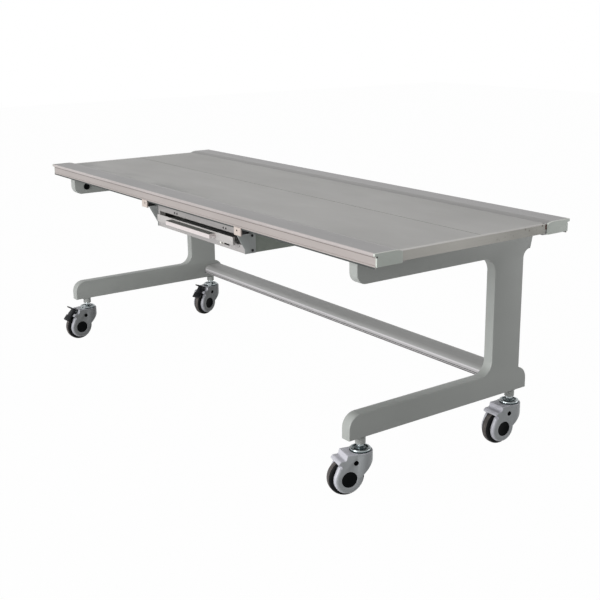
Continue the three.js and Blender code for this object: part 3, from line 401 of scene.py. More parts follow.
outer_outline = (
    (RAIL_FACE, RAIL_FOOT), (RAIL_FACE, BEAD_SHADOW_FOOT), (RAIL_FACE, BEAD_LOW - BEAD_ROUND),
    (BEAD_Y, BEAD_LOW - BEAD_ROUND), (BEAD_Y, BEAD_LOW, -90),
    (BEAD_Y - BEAD_ROUND, RAIL_TOP - BEAD_ROUND), (BEAD_Y, RAIL_TOP - BEAD_ROUND, -90),
    (CROWN_Y, RAIL_TOP), (CROWN_Y, RAIL_TOP - CROWN_RADIUS, CROWN_TURN), (RAIL_EDGE, PANEL_TOP),
)
slot = mirrored(
    (SLOT_MOUTH, RAIL_FOOT), (SLOT_MOUTH, SLOT_LIP), (SLOT_CHAMBER, SLOT_LIP), (SLOT_CHAMBER, SLOT_CEILING)
)
rail = pull(
    ALONG_X, -RAIL_HALF, RAIL_HALF,
    *outer_outline, (RAIL_EDGE, PANEL_BOTTOM), (RAIL_INNER, PANEL_BOTTOM), (RAIL_INNER, RAIL_FOOT),
    *[(SLOT_Y + reach, height) for reach, height in slot],
)
# The slope gets its painted shade, the bead its painted highlight and the face under the bead its painted
# shadow.
for face in rail.faces:
    middle = face.calc_center_median()
    if middle.y < RAIL_FACE - NEAR:
        face.material_index = 3
    elif middle.y < RAIL_FACE + NEAR:
        face.material_index = 4 if middle.z > BEAD_SHADOW_FOOT else 1
    elif middle.y > CROWN_Y and middle.z > PANEL_TOP - NEAR and face.normal.z > UPWARD:
        face.material_index = 2


def flipped(shape, flip):
    """A copy mirrored along the axes that are flipped by -1."""
    copied = shape.copy()
    bmesh.ops.scale(copied, verts=copied.verts, vec=flip)
    return copied


TO_REAR = (1, -1, 1)
front_finishes = (front_top_painted_shade, rail_film, front_slope_painted_shade, bead_film_highlight, bead_painted_shadow)
rear_finishes = (rail_skin, rail_film, rail_slope_painted_shade, bead_film_highlight, bead_painted_shadow)
rear_rail = flipped(rail, TO_REAR)
make("front_rail_extrusion", rail, front_finishes, "table", "rail_aluminium", "front_rail")
make("rear_rail_extrusion", rear_rail, rear_finishes, "table", "rail_aluminium", "rear_rail")


# Edge strips: thin strips stuck along the foot of each rail's outer face.
# Their lower edge is painted black as the shadow in the gap over the carriage.
EDGE_FACE = RAIL_FACE - 1.5
EDGE_BACK = RAIL_FACE - 0.02
EDGE_BOTTOM = 649
EDGE_SHADOW_TOP = 653.2
EDGE_TOP = 657
edge_painted_shadow = aluminium("edge_strip_painted_shadow", (34, 38, 37), (50, 54, 53), 0.6, 0)
edge_strip = pull(
    ALONG_X, -RAIL_HALF, RAIL_HALF,
    (EDGE_FACE, EDGE_BOTTOM), (EDGE_FACE, EDGE_SHADOW_TOP), (EDGE_FACE, EDGE_TOP), (EDGE_BACK, EDGE_TOP + 1),
    (EDGE_BACK, EDGE_BOTTOM),
)
# The strip's lower part gets the painted shadow.
mark(edge_strip, lambda face, middle: middle.z < EDGE_SHADOW_TOP)
edge_finishes = (rail_film, edge_painted_shadow)
rear_edge_strip = flipped(edge_strip, TO_REAR)
make("front_rail_edge_strip", edge_strip, edge_finishes, "table", "rail_aluminium")
make("rear_rail_edge_strip", rear_edge_strip, edge_finishes, "table", "rail_aluminium")


# Corner caps: pale plastic plates, moulded to the rail's outline and screwed on its ends.
# Each has a small screw hole under the bead, painted black as its shade, and softly rounded edges with a
# painted highlight along the top.
def carve(solid, *tools):
    """A solid cut by others in turn, or joined or trimmed where such a work is named."""
    works = [tool if isinstance(tool, tuple) else ("DIFFERENCE", tool) for tool in tools]
    blanks = []
    for shape in (solid, *[shape for _, shape in works]):
        bmesh.ops.recalc_face_normals(shape, faces=shape.faces)
        mesh = bpy.data.meshes.new("blank")
        shape.to_mesh(mesh)
        shape.free()
        blanks.append(bpy.data.objects.new("blank", mesh))
        bpy.context.scene.collection.objects.link(blanks[-1])
    for (work, _), blank in zip(works, blanks[1:]):
        step = blanks[0].modifiers.new("step", "BOOLEAN")
        step.operation = work
        step.solver = "EXACT"
        step.object = blank
    bpy.context.view_layer.update()
    done = blanks[0].evaluated_get(bpy.context.evaluated_depsgraph_get())
    carved = bmesh.new()
    carved.from_mesh(done.to_mesh())
    for blank in blanks:
        mesh = blank.data
        bpy.data.objects.remove(blank)
        bpy.data.meshes.remove(mesh)
    return carved


def rod(across, centre, radius, start, end):
    """A round bar along an axis, with its middle at a point of the plane across it."""
    return pull(across, start, end, (centre[0] + radius, centre[1]), (*centre, 360))


def moulded(name, dark, light, rough, shine=0.5, rim_highlight=None):
    """Grained plastic, with a painted highlight in other tones on its rims if they are given."""
    finish = Finish(name)
    cloud = finish.mottle(25, detail=3)
    pebble = finish.mottle(1400, detail=1)
    mixed = 0.7 * cloud + 0.3 * pebble
    colour = finish.shade(mixed, dark, light)
    if rim_highlight:
        flat = finish.node("ShaderNodeAttribute", {"attribute_name": "cheek_face"}, output="Fac")
        colour = finish.shade(flat, finish.shade(mixed, *rim_highlight), colour)
    normal = finish.relief(pebble, 0.00003)
    rough = rough + 0.1 * pebble
    return finish.lay(Base_Color=colour, Roughness=rough, Specular_IOR_Level=shine, Normal=normal)


cap_plastic = moulded("cap_plastic", (180, 187, 180), (196, 202, 195), 0.42)
cap_painted_highlight = moulded("cap_painted_highlight", (208, 208, 202), (226, 226, 220), 0.34)
hole_painted_shade = moulded("cap_hole_painted_shade", (16, 16, 16), (26, 26, 26), 0.8, 0.1)

CAP_FACE = 1000
CAP_ROUND = 3
CAP_SOFT = 1.4
CAP_FOOT = RAIL_FOOT + CAP_ROUND
BRIGHT_ABOVE = 684.5
HOLE_PLACE = (-349.5, 679.5)
HOLE_RADIUS = 2.4
HOLE_DEPTH = 3
cap_foot = ((RAIL_EDGE, CAP_FOOT), (RAIL_EDGE - CAP_ROUND, CAP_FOOT, -90))
cap = pull(ALONG_X, RAIL_HALF, CAP_FACE, *outer_outline, *cap_foot)
soften(cap, CAP_SOFT, 3, 30, lambda edge: all(v.co.x > CAP_FACE - NEAR for v in edge.verts))
# Painted highlight: the rounded top edges of each cap's face get a lighter finish.
for face in cap.faces:
    middle = face.calc_center_median()
    if CAP_FACE - CAP_SOFT < middle.x < CAP_FACE - NEAR and middle.z > BRIGHT_ABOVE:
        face.material_index = 2
# The hole's walls and floor are painted near black as its shade.
hole = rod(ALONG_X, HOLE_PLACE, HOLE_RADIUS, CAP_FACE - HOLE_DEPTH, CAP_FACE + 1)
mark(hole, lambda face, middle: 1)
cap = carve(cap, hole)
cap_finishes = (cap_plastic, hole_painted_shade, cap_painted_highlight)
corners = {
    "front_right": (1, 1, 1),
    "front_left": (-1, 1, 1),
    "rear_right": (1, -1, 1),
    "rear_left": (-1, -1, 1),
}
for corner, flip in corners.items():
    moulding = flipped(cap, flip)
    make(corner + "_cap_moulding", moulding, cap_finishes, "table", "cap_plastic", corner + "_cap")


# End strips: brushed aluminium angles, folded over the panel's ends and glued on.
# The right one is cut short at the rear, where the board's brown core shows, and it is nicked there.
def brushed_strip(name, lit_front, shaded_rear):
    finish = Finish(name)
    streaks = finish.mottle(500, (1, 0.006, 1), 3)
    cloud = finish.fade(finish.mottle(12, detail=5), 0.35, 0.7)
    grain = 0.4 * streaks + 0.6 * cloud
    front_part = finish.shade(grain, *lit_front)
    rear_part = finish.shade(grain, *shaded_rear)
    # Painted shade: each strip turns darker towards the rear; the nicks there are real marks.
    clean = finish.shade(finish.fade(finish.along(1), -0.05, 0.2), front_part, rear_part)
    nick = finish.fade(finish.mottle(95, detail=4, harsh=0.6), 0.62, 0.66)
    worn = finish.fade(finish.along(1), 0.05, 0.22)
    colour = finish.shade(nick * worn * (finish.along(0) > 0.5), clean, (70, 62, 56))
    normal = finish.relief(streaks, 0.00004)
    return finish.lay(Base_Color=colour, Metallic=0.5, Roughness=0.36 + 0.2 * cloud, Normal=normal)


STRIP_FACE = 997
STRIP_DROP = 26.5
STRIP_LAP = 13
STRIP_SHORT = 8
FOLD_ROUND = 1.4
FOLD_LEAN = 0.2
strip_skin = brushed_strip(
    "end_strip_aluminium",
    lit_front=((142, 140, 135), (164, 162, 157)),
    shaded_rear=((106, 105, 100), (128, 127, 122)),
)
# Painted highlight: the fold's upward faces are a lighter copy of the strip's aluminium.
strip_top_highlight = brushed_strip(
    "end_strip_top_painted_highlight",
    lit_front=((172, 170, 167), (190, 188, 185)),
    shaded_rear=((162, 160, 157), (180, 178, 175)),
)


def on_fold(edge):
    return all(v.co.x > STRIP_FACE - NEAR and v.co.z > PANEL_TOP - NEAR for v in edge.verts)


for side, flip, rear in (("right", 1, PANEL_SIDE - STRIP_SHORT), ("left", -1, PANEL_SIDE)):
    strip = pull(
        ALONG_Y, -PANEL_SIDE, rear,
        (STRIP_FACE, PANEL_TOP - STRIP_DROP), (STRIP_FACE, PANEL_TOP),
        (STRIP_FACE - STRIP_LAP, PANEL_TOP), (STRIP_FACE - STRIP_LAP, PANEL_TOP - REBATE),
        (STRIP_FACE - REBATE, PANEL_TOP - REBATE), (STRIP_FACE - REBATE, PANEL_TOP - STRIP_DROP),
    )
    soften(strip, FOLD_ROUND, 3, where=on_fold)
    mark(strip, lambda face, middle: face.normal.z > FOLD_LEAN)
    strip = flipped(strip, (flip, 1, 1))
    skins = (strip_skin, strip_top_highlight)
    make(side + "_end_strip_angle", strip, skins, "table", "rail_aluminium", side + "_end_strip")


# End frames: C-shaped steel weldments of an upper arm, a column and a foot, powder-coated grey-green.
# A turned boss is welded under each end of the foot for a caster's stem.
def powder_coat(name, dark, light, rough=0.4, metal=0.15, patch=9, fine=4, peel=800, depth=0.00004):
    finish = Finish(name)
    cloud = finish.fade(finish.mottle(patch, detail=fine), 0.3, 0.7)
    grain = finish.mottle(peel, detail=1)
    colour = finish.shade(0.8 * cloud + 0.2 * grain, dark, light)
    normal = finish.relief(grain, depth)
    return finish.lay(Base_Color=colour, Roughness=rough + 0.1 * grain, Metallic=metal, Normal=normal)


FRAME_INNER = 862
FRAME_OUTER = 896
FRAME_SOFT = 5
FOOT_FRONT = -353
FOOT_BOTTOM = 161.747
FOOT_TOP = 231.747
FOOT_ROUND = 40
HEEL = 321
COLUMN_FRONT = 174
COLUMN_REAR = 289
INNER_ROUND = 42
INNER_BEND = COLUMN_FRONT - INNER_ROUND
SHOULDER = 566
SHOULDER_ROUND = 25
SHOULDER_END = 316
ARM_FRONT = -328
ARM_BOTTOM = 583
ARM_ROUND = 30
ARM_REAR = 331
STEM_X = 879
STEM_FRONT = -303
STEM_REAR = 271
BOSS_BOTTOM = 140.747
BOSS_RADIUS = 14.7
WELD_RADIUS = 18
WELD_LOW = 158
WELD_TOP = 163


def turn(*points, steps=48):
    """A piece turned about the upright axis, from the points of its profile."""
    shape = bmesh.new()
    path = [shape.verts.new((radius, 0, height)) for radius, height in points]
    for first, second in zip(path, path[1:]):
        shape.edges.new((first, second))
    profile = shape.verts[:] + shape.edges[:]
    bmesh.ops.spin(
        shape, geom=profile, cent=(0, 0, 0), axis=(0, 0, 1), angle=math.tau, steps=steps,
        use_merge=True, use_duplicate=False,
    )
    bmesh.ops.remove_doubles(shape, verts=shape.verts, dist=0.001)
    bmesh.ops.recalc_face_normals(shape, faces=shape.faces)
    return shape


def gather(*shapes):
    """Several shapes in one."""
    whole = bmesh.new()
    for shape in shapes:
        mesh = bpy.data.meshes.new("blank")
        shape.to_mesh(mesh)
        shape.free()
        whole.from_mesh(mesh)
        bpy.data.meshes.remove(mesh)
    return whole


def placed(shape, place, turned=Matrix.Identity(3)):
    """A copy of a shape, turned and set in its place."""
    copied = shape.copy()
    bmesh.ops.rotate(copied, verts=copied.verts, matrix=turned)
    bmesh.ops.translate(copied, verts=copied.verts, vec=place)
    return copied


def lies_across(axis):
    """A test for the edges that don't run along an axis."""
    return lambda edge: abs(edge.verts[0].co[axis] - edge.verts[1].co[axis]) < NEAR


coat = powder_coat(
    "grey_powder_coat", (148, 151, 148), (156, 159, 156),
    rough=0.36, metal=0, patch=4, fine=3, peel=650, depth=0.00005,
)
heel_turn = math.degrees(math.acos((COLUMN_REAR - HEEL + FOOT_ROUND) / FOOT_ROUND))
boss = turn(
    (0, BOSS_BOTTOM), (BOSS_RADIUS - 1, BOSS_BOTTOM), (BOSS_RADIUS, BOSS_BOTTOM + 1),
    (BOSS_RADIUS, WELD_LOW), (WELD_RADIUS, WELD_TOP), (0, WELD_TOP),
)
for side, flip in (("right", 1), ("left", -1)):
    weldment = pull(
        ALONG_X, FRAME_INNER, FRAME_OUTER,
        (FOOT_FRONT, FOOT_BOTTOM), (HEEL, FOOT_BOTTOM), (HEEL, FOOT_TOP - FOOT_ROUND),
        (HEEL - FOOT_ROUND, FOOT_TOP - FOOT_ROUND, heel_turn), (COLUMN_REAR, SHOULDER),
        (COLUMN_REAR + SHOULDER_ROUND, SHOULDER, -90), (SHOULDER_END, SHOULDER + SHOULDER_ROUND),
        (ARM_REAR, RAIL_FOOT), (ARM_FRONT, RAIL_FOOT), (ARM_FRONT, ARM_BOTTOM + ARM_ROUND),
        (ARM_FRONT + ARM_ROUND, ARM_BOTTOM + ARM_ROUND, 90), (INNER_BEND, ARM_BOTTOM),
        (INNER_BEND, ARM_BOTTOM - INNER_ROUND, -90), (COLUMN_FRONT, FOOT_TOP + INNER_ROUND),
        (INNER_BEND, FOOT_TOP + INNER_ROUND, -90), (FOOT_FRONT + FOOT_ROUND, FOOT_TOP),
        (FOOT_FRONT + FOOT_ROUND, FOOT_TOP - FOOT_ROUND, 90),
    )
    soften(weldment, FRAME_SOFT, 4, 60, lies_across(0))
    bosses = [placed(boss, (STEM_X, stem, 0)) for stem in (STEM_FRONT, STEM_REAR)]
    weldment = flipped(gather(weldment, *bosses), (flip, 1, 1))
    make(side + "_end_frame_weldment", weldment, (coat,), "table", "frame_paint", side + "_end_frame")


# Arm plugs: black plastic plugs pressed into the holes through which the arms are bolted to the rails.
# Each has a shallow dished face with a rounded rim.
PLUG_Y = -279
PLUG_Z = 610
FACING_RIGHT = Matrix.Rotation(math.radians(90), 3, "Y")
black_plastic = moulded("black_plastic", (6, 8, 9), (13, 15, 16), 0.4, 0.03)
for side, flip in (("right", -1), ("left", 1)):
    plug = turn((0, 0), (12, 0), (12, 2.6), (10.6, 4), (8.6, 4), (7.4, 3), (0, 2.8))
    plug = placed(plug, (-FRAME_INNER, PLUG_Y, PLUG_Z), FACING_RIGHT)
    plug = flipped(plug, (flip, 1, 1))
    make(side + "_arm_plug_moulding", plug, (black_plastic,), "table", "black_plastic", side + "_arm_plug")


# Stretcher: a domed aluminium extrusion between the two feet, satin anodised, bolted through the frames.
# Its shoulder carries a painted highlight, its front wall is painted lighter as lit, and two grooves run
# along the lower part of its front, painted dark as shade.
bar_skin = aluminium("stretcher_aluminium", (146, 146, 145), (158, 158, 157), 0.46, 0.12)
bar_front_lit = aluminium("stretcher_front_painted_light", (162, 160, 161), (176, 174, 175), 0.4, 0.12)
bar_shoulder_highlight = aluminium("stretcher_shoulder_painted_highlight", (188, 186, 188), (204, 202, 204), 0.34, 0.15)
# Painted shade: the grooves' faces are dark.
bar_groove_painted_shade = aluminium("stretcher_groove_painted_shade", (48, 47, 47), (64, 63, 63), 0.6, 0)
BAR_FRONT = 239
BAR_BOTTOM = 180.747
BAR_SHOULDER = 195.747
BAR_ROUND = 19.2
BAR_HIGHLIGHT_TOP = 200
DOME_Y = 280
DOME_Z = 154.75
DOME_TURN = 39.86
GROOVE_TOPS = (189.347, 184.147)
GROOVE_HEIGHT = 2.2
GROOVE_DEPTH = 1.5
groove = ((0, 0), (GROOVE_DEPTH, 0), (GROOVE_DEPTH, -GROOVE_HEIGHT), (0, -GROOVE_HEIGHT))
groove_strokes = [(BAR_FRONT + y, top + z) for top in GROOVE_TOPS for y, z in groove]
stretcher = pull(
    ALONG_X, -FRAME_INNER, FRAME_INNER,
    (BAR_FRONT, BAR_BOTTOM), (HEEL, BAR_BOTTOM), (HEEL, BAR_SHOULDER),
    (HEEL - BAR_ROUND, BAR_SHOULDER, 90), (DOME_Y, DOME_Z, DOME_TURN),
    (BAR_FRONT + BAR_ROUND, BAR_SHOULDER, 90), *groove_strokes,
)
# Faces get painted light: a lighter front wall, a highlight on the shoulder and shade in the grooves.
for face in stretcher.faces:
    middle = face.calc_center_median()
    if abs(face.normal.x) > SQUARE_ON or middle.y > BAR_FRONT + 2 * GROOVE_DEPTH:
        continue
    if middle.y > BAR_FRONT + NEAR and middle.z < GROOVE_TOPS[0] + NEAR:
        face.material_index = 3
    elif middle.z < BAR_SHOULDER - NEAR:
        face.material_index = 1
    elif middle.z < BAR_HIGHLIGHT_TOP:
        face.material_index = 2
bar_finishes = (bar_skin, bar_front_lit, bar_shoulder_highlight, bar_groove_painted_shade)
make("stretcher_extrusion", stretcher, bar_finishes, "table", "stretcher_aluminium", "stretcher")


# Swivel heads: pressed zinc-plated cups over the swivel bearing, each drawn up to its boss by a hex nut.
# The kingpin runs down into the fork.
def zinc_plate(name, dark, light):
    finish = Finish(name)
    cloud = finish.fade(finish.mottle(40, detail=4), 0.3, 0.7)
    colour = finish.shade(cloud, dark, light)
    return finish.lay(Base_Color=colour, Metallic=0.9, Roughness=0.2 + 0.14 * cloud)


zinc = zinc_plate("zinc_plate", (134, 142, 144), (186, 191, 193))
# Painted reflection: a darker copy of the zinc for the cup's dish and a band round its wall.
zinc_painted_reflection = zinc_plate("zinc_painted_reflection", (52, 64, 66), (88, 100, 102))
KINGPIN_FOOT = 97.75
KINGPIN_RADIUS = 8
CUP_FOOT = 116.1
CUP_RIM = 129.05
DISH_FLOOR = 126
DISH_RADIUS = 24
BAND_LOW = 118
BAND_HIGH = 125
NUT_RADIUS = 11
NUT_FOOT = 128
stems = {
    "front_right": (STEM_X, STEM_FRONT, 255.5),
    "rear_right": (STEM_X, STEM_REAR, 266.2),
    "front_left": (-STEM_X, STEM_FRONT, 273.3),
    "rear_left": (-STEM_X, STEM_REAR, 287.5),
}


def stand(shape, corner):
    """A copy of a caster's piece, turned and set under its stem."""
    x, y, trail = stems[corner]
    return placed(shape, (x, y, 0), Matrix.Rotation(math.radians(trail), 3, "Z"))


def hexagon(radius):
    """The corners of a hexagon about nought."""
    angles = [corner * math.tau / 6 for corner in range(6)]
    return [(radius * math.cos(angle), radius * math.sin(angle)) for angle in angles]


cup = turn(
    (0, KINGPIN_FOOT), (KINGPIN_RADIUS, KINGPIN_FOOT), (KINGPIN_RADIUS, CUP_FOOT), (25.8, CUP_FOOT),
    (28.1, 117), (29, 119.3), (29, 121.6), (28.2, 122), (28.2, 122.8), (29, 123.2), (29, 125.8),
    (28.1, 128.1), (25.8, CUP_RIM), (22.5, CUP_RIM), (20.8, 127.9), (16, 126.3), (16, 128.2),
    (15.4, 128.8), (0, 128.8),
)
nut = soften(pull(ALONG_Z, NUT_FOOT, BOSS_BOTTOM, *hexagon(NUT_RADIUS)), 0.9, 2, 50)


# Where the cup gets the painted dark reflection.
def in_painted_reflection(face, middle):
    dished = middle.z > DISH_FLOOR and math.hypot(middle.x, middle.y) < DISH_RADIUS
    return dished or BAND_LOW < middle.z < BAND_HIGH


mark(cup, in_painted_reflection)
head = gather(cup, nut)
for corner in stems:
    skins = (zinc, zinc_painted_reflection)
    make(corner + "_swivel_cup", stand(head, corner), skins, "table", "zinc", corner + "_swivel_head")


# Forks: two-cheek housings moulded in light grey plastic, with a round barrel under the swivel cup,
# a stepped visor over the wheel and a blind hole in each cheek. The braked ones are slotted for a pedal.
TRAIL = 43.5
AXLE_HEIGHT = 52.247
FORK_TOP = 121.747
CHEEK = 29.4
CHEEK_FLAT = 0.97
CHEEK_ROUND = 0.55
DEAD_FLAT = 0.99
DISC_RADIUS = 41.4
NECK_RADIUS = 32.3
VISOR_FOOT = 95
VISOR_TIP = 75
VISOR_TOP = FORK_TOP - 14
VISOR_STEP = 57.8
STEP_ROUND = 6
BARREL_JOIN = 20.4
BARREL_TANGENT = (7.07, 33.26)
BARREL_FOOT = 40
SLOPE_FOOT = 13.5
SLOPE_HIGH = 102.368
WHEEL_ROOM = 56
WHEEL_HALF = 16
CUP_ROOM = 30
CUP_SINK = 6
BORE_RADIUS = 8.3
BORE_FOOT = 97.4
SEAT_RADIUS = 22.7
SEAT_FLOOR = 26.1
BLIND_HOLE = (24.3, FORK_TOP - 24.8)
BLIND_RADIUS = 7
BLIND_FLOOR = 23.5
PIVOT = (56, 114.997)
LUG_ROUND = 5.5
LUG_HALF = 5
PEDAL_ROOM = 46
SHY = 0.02
BESIDE = 40
BEYOND = 140
ABOVE = 130


def about_axle(radius, degrees):
    """A point of a circle about the axle."""
    angle = math.radians(degrees)
    return (TRAIL + radius * math.cos(angle), AXLE_HEIGHT + radius * math.sin(angle))


def on_visor(edge):
    forward = max(v.co.x for v in edge.verts) > BARREL_JOIN
    return forward and min(v.co.z for v in edge.verts) > VISOR_FOOT - NEAR


def at_mouth(edge):
    """Whether an edge runs round a hole in a cheek's face."""
    seats = ((TRAIL, AXLE_HEIGHT, SEAT_RADIUS), (*BLIND_HOLE, BLIND_RADIUS))
    return any(
        all(abs(math.hypot(v.co.x - x, v.co.z - z) - radius) < NEAR for v in edge.verts)
        for x, z, radius in seats
    ) and all(abs(v.co.y) > CHEEK - NEAR for v in edge.verts)


def fork(braked):
    axle_place = (TRAIL, AXLE_HEIGHT)
    discs = pull(
        ALONG_Y, SHY - CHEEK, CHEEK - SHY,
        about_axle(DISC_RADIUS, 100), (*axle_place, 285), (71.6, 90.5), (60, 96),
    )
    soften(discs, 9, 6, 60, lies_across(1))
    upper = pull(
        ALONG_Y, -CHEEK, CHEEK,
        (0, FORK_TOP), (0, 65.3), about_axle(NECK_RADIUS, 176), (*axle_place, 209),
        (63.6, 86.5), (66, VISOR_FOOT), (VISOR_TIP, 97.5), (VISOR_TIP, VISOR_TOP - STEP_ROUND),
        (VISOR_TIP - STEP_ROUND, VISOR_TOP), (VISOR_STEP, VISOR_TOP),
        (VISOR_STEP, VISOR_TOP + STEP_ROUND, -82), (49.5, FORK_TOP),
    )
    soften(upper, 2.6, 3, 25, on_visor)
    barrel = pull(
        ALONG_Z, BARREL_FOOT, FORK_TOP - SHY / 2,
        (BARREL_JOIN, -CHEEK), (BARREL_JOIN, CHEEK), BARREL_TANGENT, (0, 0, 204),
    )
    over_slope = pull(
        ALONG_Y, -BESIDE, BESIDE,
        (-BESIDE, SLOPE_HIGH), (SLOPE_FOOT, AXLE_HEIGHT), (BESIDE, AXLE_HEIGHT), (BESIDE, ABOVE),
        (-BESIDE, ABOVE),
    )
    barrel = carve(barrel, ("INTERSECT", over_slope))
    soften(barrel, 2.6, 3, 40, lambda edge: max(v.co.x for v in edge.verts) < BARREL_JOIN - NEAR)
    works = [
        ("UNION", barrel),
        ("UNION", discs),
        rod(ALONG_Y, axle_place, WHEEL_ROOM, -WHEEL_HALF, WHEEL_HALF),
        rod(ALONG_Z, (0, 0), CUP_ROOM, FORK_TOP - CUP_SINK, FORK_TOP + CUP_SINK),
        rod(ALONG_Z, (0, 0), BORE_RADIUS, BORE_FOOT, FORK_TOP),
    ]
    for near, far in ((SEAT_FLOOR, BESIDE), (-BESIDE, -SEAT_FLOOR)):
        works.append(rod(ALONG_Y, axle_place, SEAT_RADIUS, near, far))
    for near, far in ((BLIND_FLOOR, BESIDE), (-BESIDE, -BLIND_FLOOR)):
        blind = rod(ALONG_Y, BLIND_HOLE, BLIND_RADIUS, near, far)
        # The blind hole's walls and floor are painted black as its shade.
        mark(blind, lambda face, middle: 1)
        works.append(blind)
    if braked:
        x, z = PIVOT
        slot = pull(
            ALONG_Y, -WHEEL_HALF, WHEEL_HALF,
            (PEDAL_ROOM, AXLE_HEIGHT), (BEYOND, AXLE_HEIGHT), (BEYOND, ABOVE), (PEDAL_ROOM, ABOVE),
        )
        lug = pull(
            ALONG_Y, -LUG_HALF, LUG_HALF,
            (40, z - LUG_ROUND), (x, z - LUG_ROUND), (x, z, 180), (40, z + LUG_ROUND),
        )
        works += [slot, ("UNION", lug)]
    housing = soften(carve(upper, *works), 0.8, 2, 40, at_mouth)
    housing.normal_update()
    # The cheek_face mask is 0 on the rounded rims, where the painted highlight tones go.
    cheek_face = housing.loops.layers.float.new("cheek_face")
    for face in housing.faces:
        barrel_side = face.calc_center_median().x < BARREL_JOIN and abs(face.normal.z) < UPWARD
        flat = barrel_side or abs(face.normal.y) > DEAD_FLAT
        for loop in face.loops:
            lean = (abs(loop.vert.normal.y) - CHEEK_ROUND) / (CHEEK_FLAT - CHEEK_ROUND)
            loop[cheek_face] = 1 if flat else min(max(lean, 0), 1)
    return housing


def at_stems(suffix, shape, finishes, body, slot, node, stands=stems):
    """The same piece at several casters."""
    for corner in stands:
        make(corner + suffix, stand(shape, corner), finishes, corner + body, slot, corner + node)


BRAKED = ("front_left", "rear_left")
UNBRAKED = ("front_right", "rear_right")
# Painted highlight: lighter tones on the forks' rounded rims.
left_rim_highlight = ((150, 151, 157), (164, 164, 170))
right_rim_highlight = ((174, 174, 181), (188, 188, 195))
# Painted shade: the left forks' plastic is a darker copy of the right ones'.
left_shaded_grey = moulded("left_fork_plastic_painted_shade", (105, 108, 109), (119, 121, 122), 0.34, rim_highlight=left_rim_highlight)
right_grey = moulded("right_fork_plastic", (144, 148, 150), (158, 161, 163), 0.34, rim_highlight=right_rim_highlight)
left_skins = (left_shaded_grey, black_plastic)
right_skins = (right_grey, black_plastic)
at_stems("_fork_housing", fork(False), right_skins, "_caster", "fork_plastic", "_fork", UNBRAKED)
at_stems("_fork_housing", fork(True), left_skins, "_caster", "fork_plastic", "_fork", BRAKED)


# Axles: steel pins through the wheels, covered at each end by a black snap-in hub cap.
# The caps lie just below the cheeks' faces, with a shallow dish.
FACING_FRONT = Matrix.Rotation(math.radians(90), 3, "X")
PIN_RADIUS = 6
CAP_RADIUS = 22.3
CAP_BACK = 26.4
CAP_RAISED = 29.2
CAP_DISHED = 28.8
half_axle = (
    (PIN_RADIUS, CAP_BACK), (CAP_RADIUS, CAP_BACK), (CAP_RADIUS, CAP_RAISED - 1),
    (CAP_RADIUS - 1, CAP_RAISED), (18, CAP_RAISED), (17, CAP_DISHED), (0, CAP_DISHED),
)
other_half = tuple((radius, -reach) for radius, reach in reversed(half_axle))
axle = placed(turn(*other_half, *half_axle), (TRAIL, 0, AXLE_HEIGHT), FACING_FRONT)
at_stems("_axle_caps", axle, (black_plastic,), "_caster", "black_plastic", "_axle")


# Wheels: nylon cores with a bonded grey rubber tread, crowned, with two fine grooves round it.
# They run on the axle between the cheeks.
def rubber(name, dark, light):
    finish = Finish(name)
    dust = finish.fade(finish.mottle(60, detail=5), 0.4, 0.75)
    grain = finish.mottle(1200, detail=1)
    colour = finish.shade(dust, dark, light)
    normal = finish.relief(grain, 0.00004)
    return finish.lay(Base_Color=colour, Roughness=0.6 + 0.15 * dust, Specular_IOR_Level=0.1, Normal=normal)


half_tread = (
    (6.3, 15.7), (14, 15.7), (14, 13.5), (46.2, 13.5), (48.8, 12.6), (50.7, 10.4), (51.8, 7.2),
    (52.1, 4.8), (51.5, 4.5), (51.5, 3.9), (52.2, 3.6),
)
other_half = tuple((radius, -reach) for radius, reach in reversed(half_tread))
TREAD_HALF = 8
tyre = turn(*half_tread, *other_half, half_tread[0], steps=72)
tyre = placed(tyre, (TRAIL, 0, AXLE_HEIGHT), FACING_FRONT)
# Painted shade: the tyre's sides beyond the crown are near black, as the shade under the cheeks.
mark(tyre, lambda face, middle: abs(middle.y) > TREAD_HALF)
treads = (
    rubber("tread_rubber", (84, 80, 79), (112, 106, 103)),
    rubber("tyre_side_painted_shade", (12, 13, 14), (22, 22, 23)),
)
at_stems("_wheel_tyre", tyre, treads, "_roller", "tread", "_wheel")


# Brake pedals: black moulded rockers on the two left casters, with a shoe that follows the tread,
# a ribbed tread plate to step on and an upper tab to release it. They pivot on a pin in the fork.
ROCKER_HALF = 14
SHOE_RADIUS = 54.7
PLATE_HALF = 20
PLATE_HIGH = (83, 102.747)
PLATE_TIP = (97.5, 86.247)
PLATE_FOOT = (97.5, 82.747)
RIB_HALF = 18
LUG_ROOM = 5.8
PIN_HEAD = 5
rocker = pull(
    ALONG_Y, -ROCKER_HALF, ROCKER_HALF,
    about_axle(SHOE_RADIUS, 70), (TRAIL, AXLE_HEIGHT, -34), PLATE_FOOT, PLATE_TIP, (72, 115.247),
    (66, 120.747), (66, 123.747), (82, 132.247), (82, 137.747), (66, 129.747), (56, 122.997),
    (*PIVOT, 180),
)
lug_slot = ((40, 99), (PIVOT[0], 99), (PIVOT[0], 131), (40, 131))
rocker = carve(
    soften(rocker, 1.2, 2, 40),
    rod(ALONG_Y, PIVOT, LUG_ROUND + 0.8, -LUG_ROOM, LUG_ROOM),
    pull(ALONG_Y, -LUG_ROOM, LUG_ROOM, *lug_slot),
)
plate_outline = ((87.75, 84.4), PLATE_FOOT, PLATE_TIP, PLATE_HIGH, (83, 95.747))
plate = soften(pull(ALONG_Y, -PLATE_HALF, PLATE_HALF, *plate_outline), 1.4, 3, 40)
ribs = []
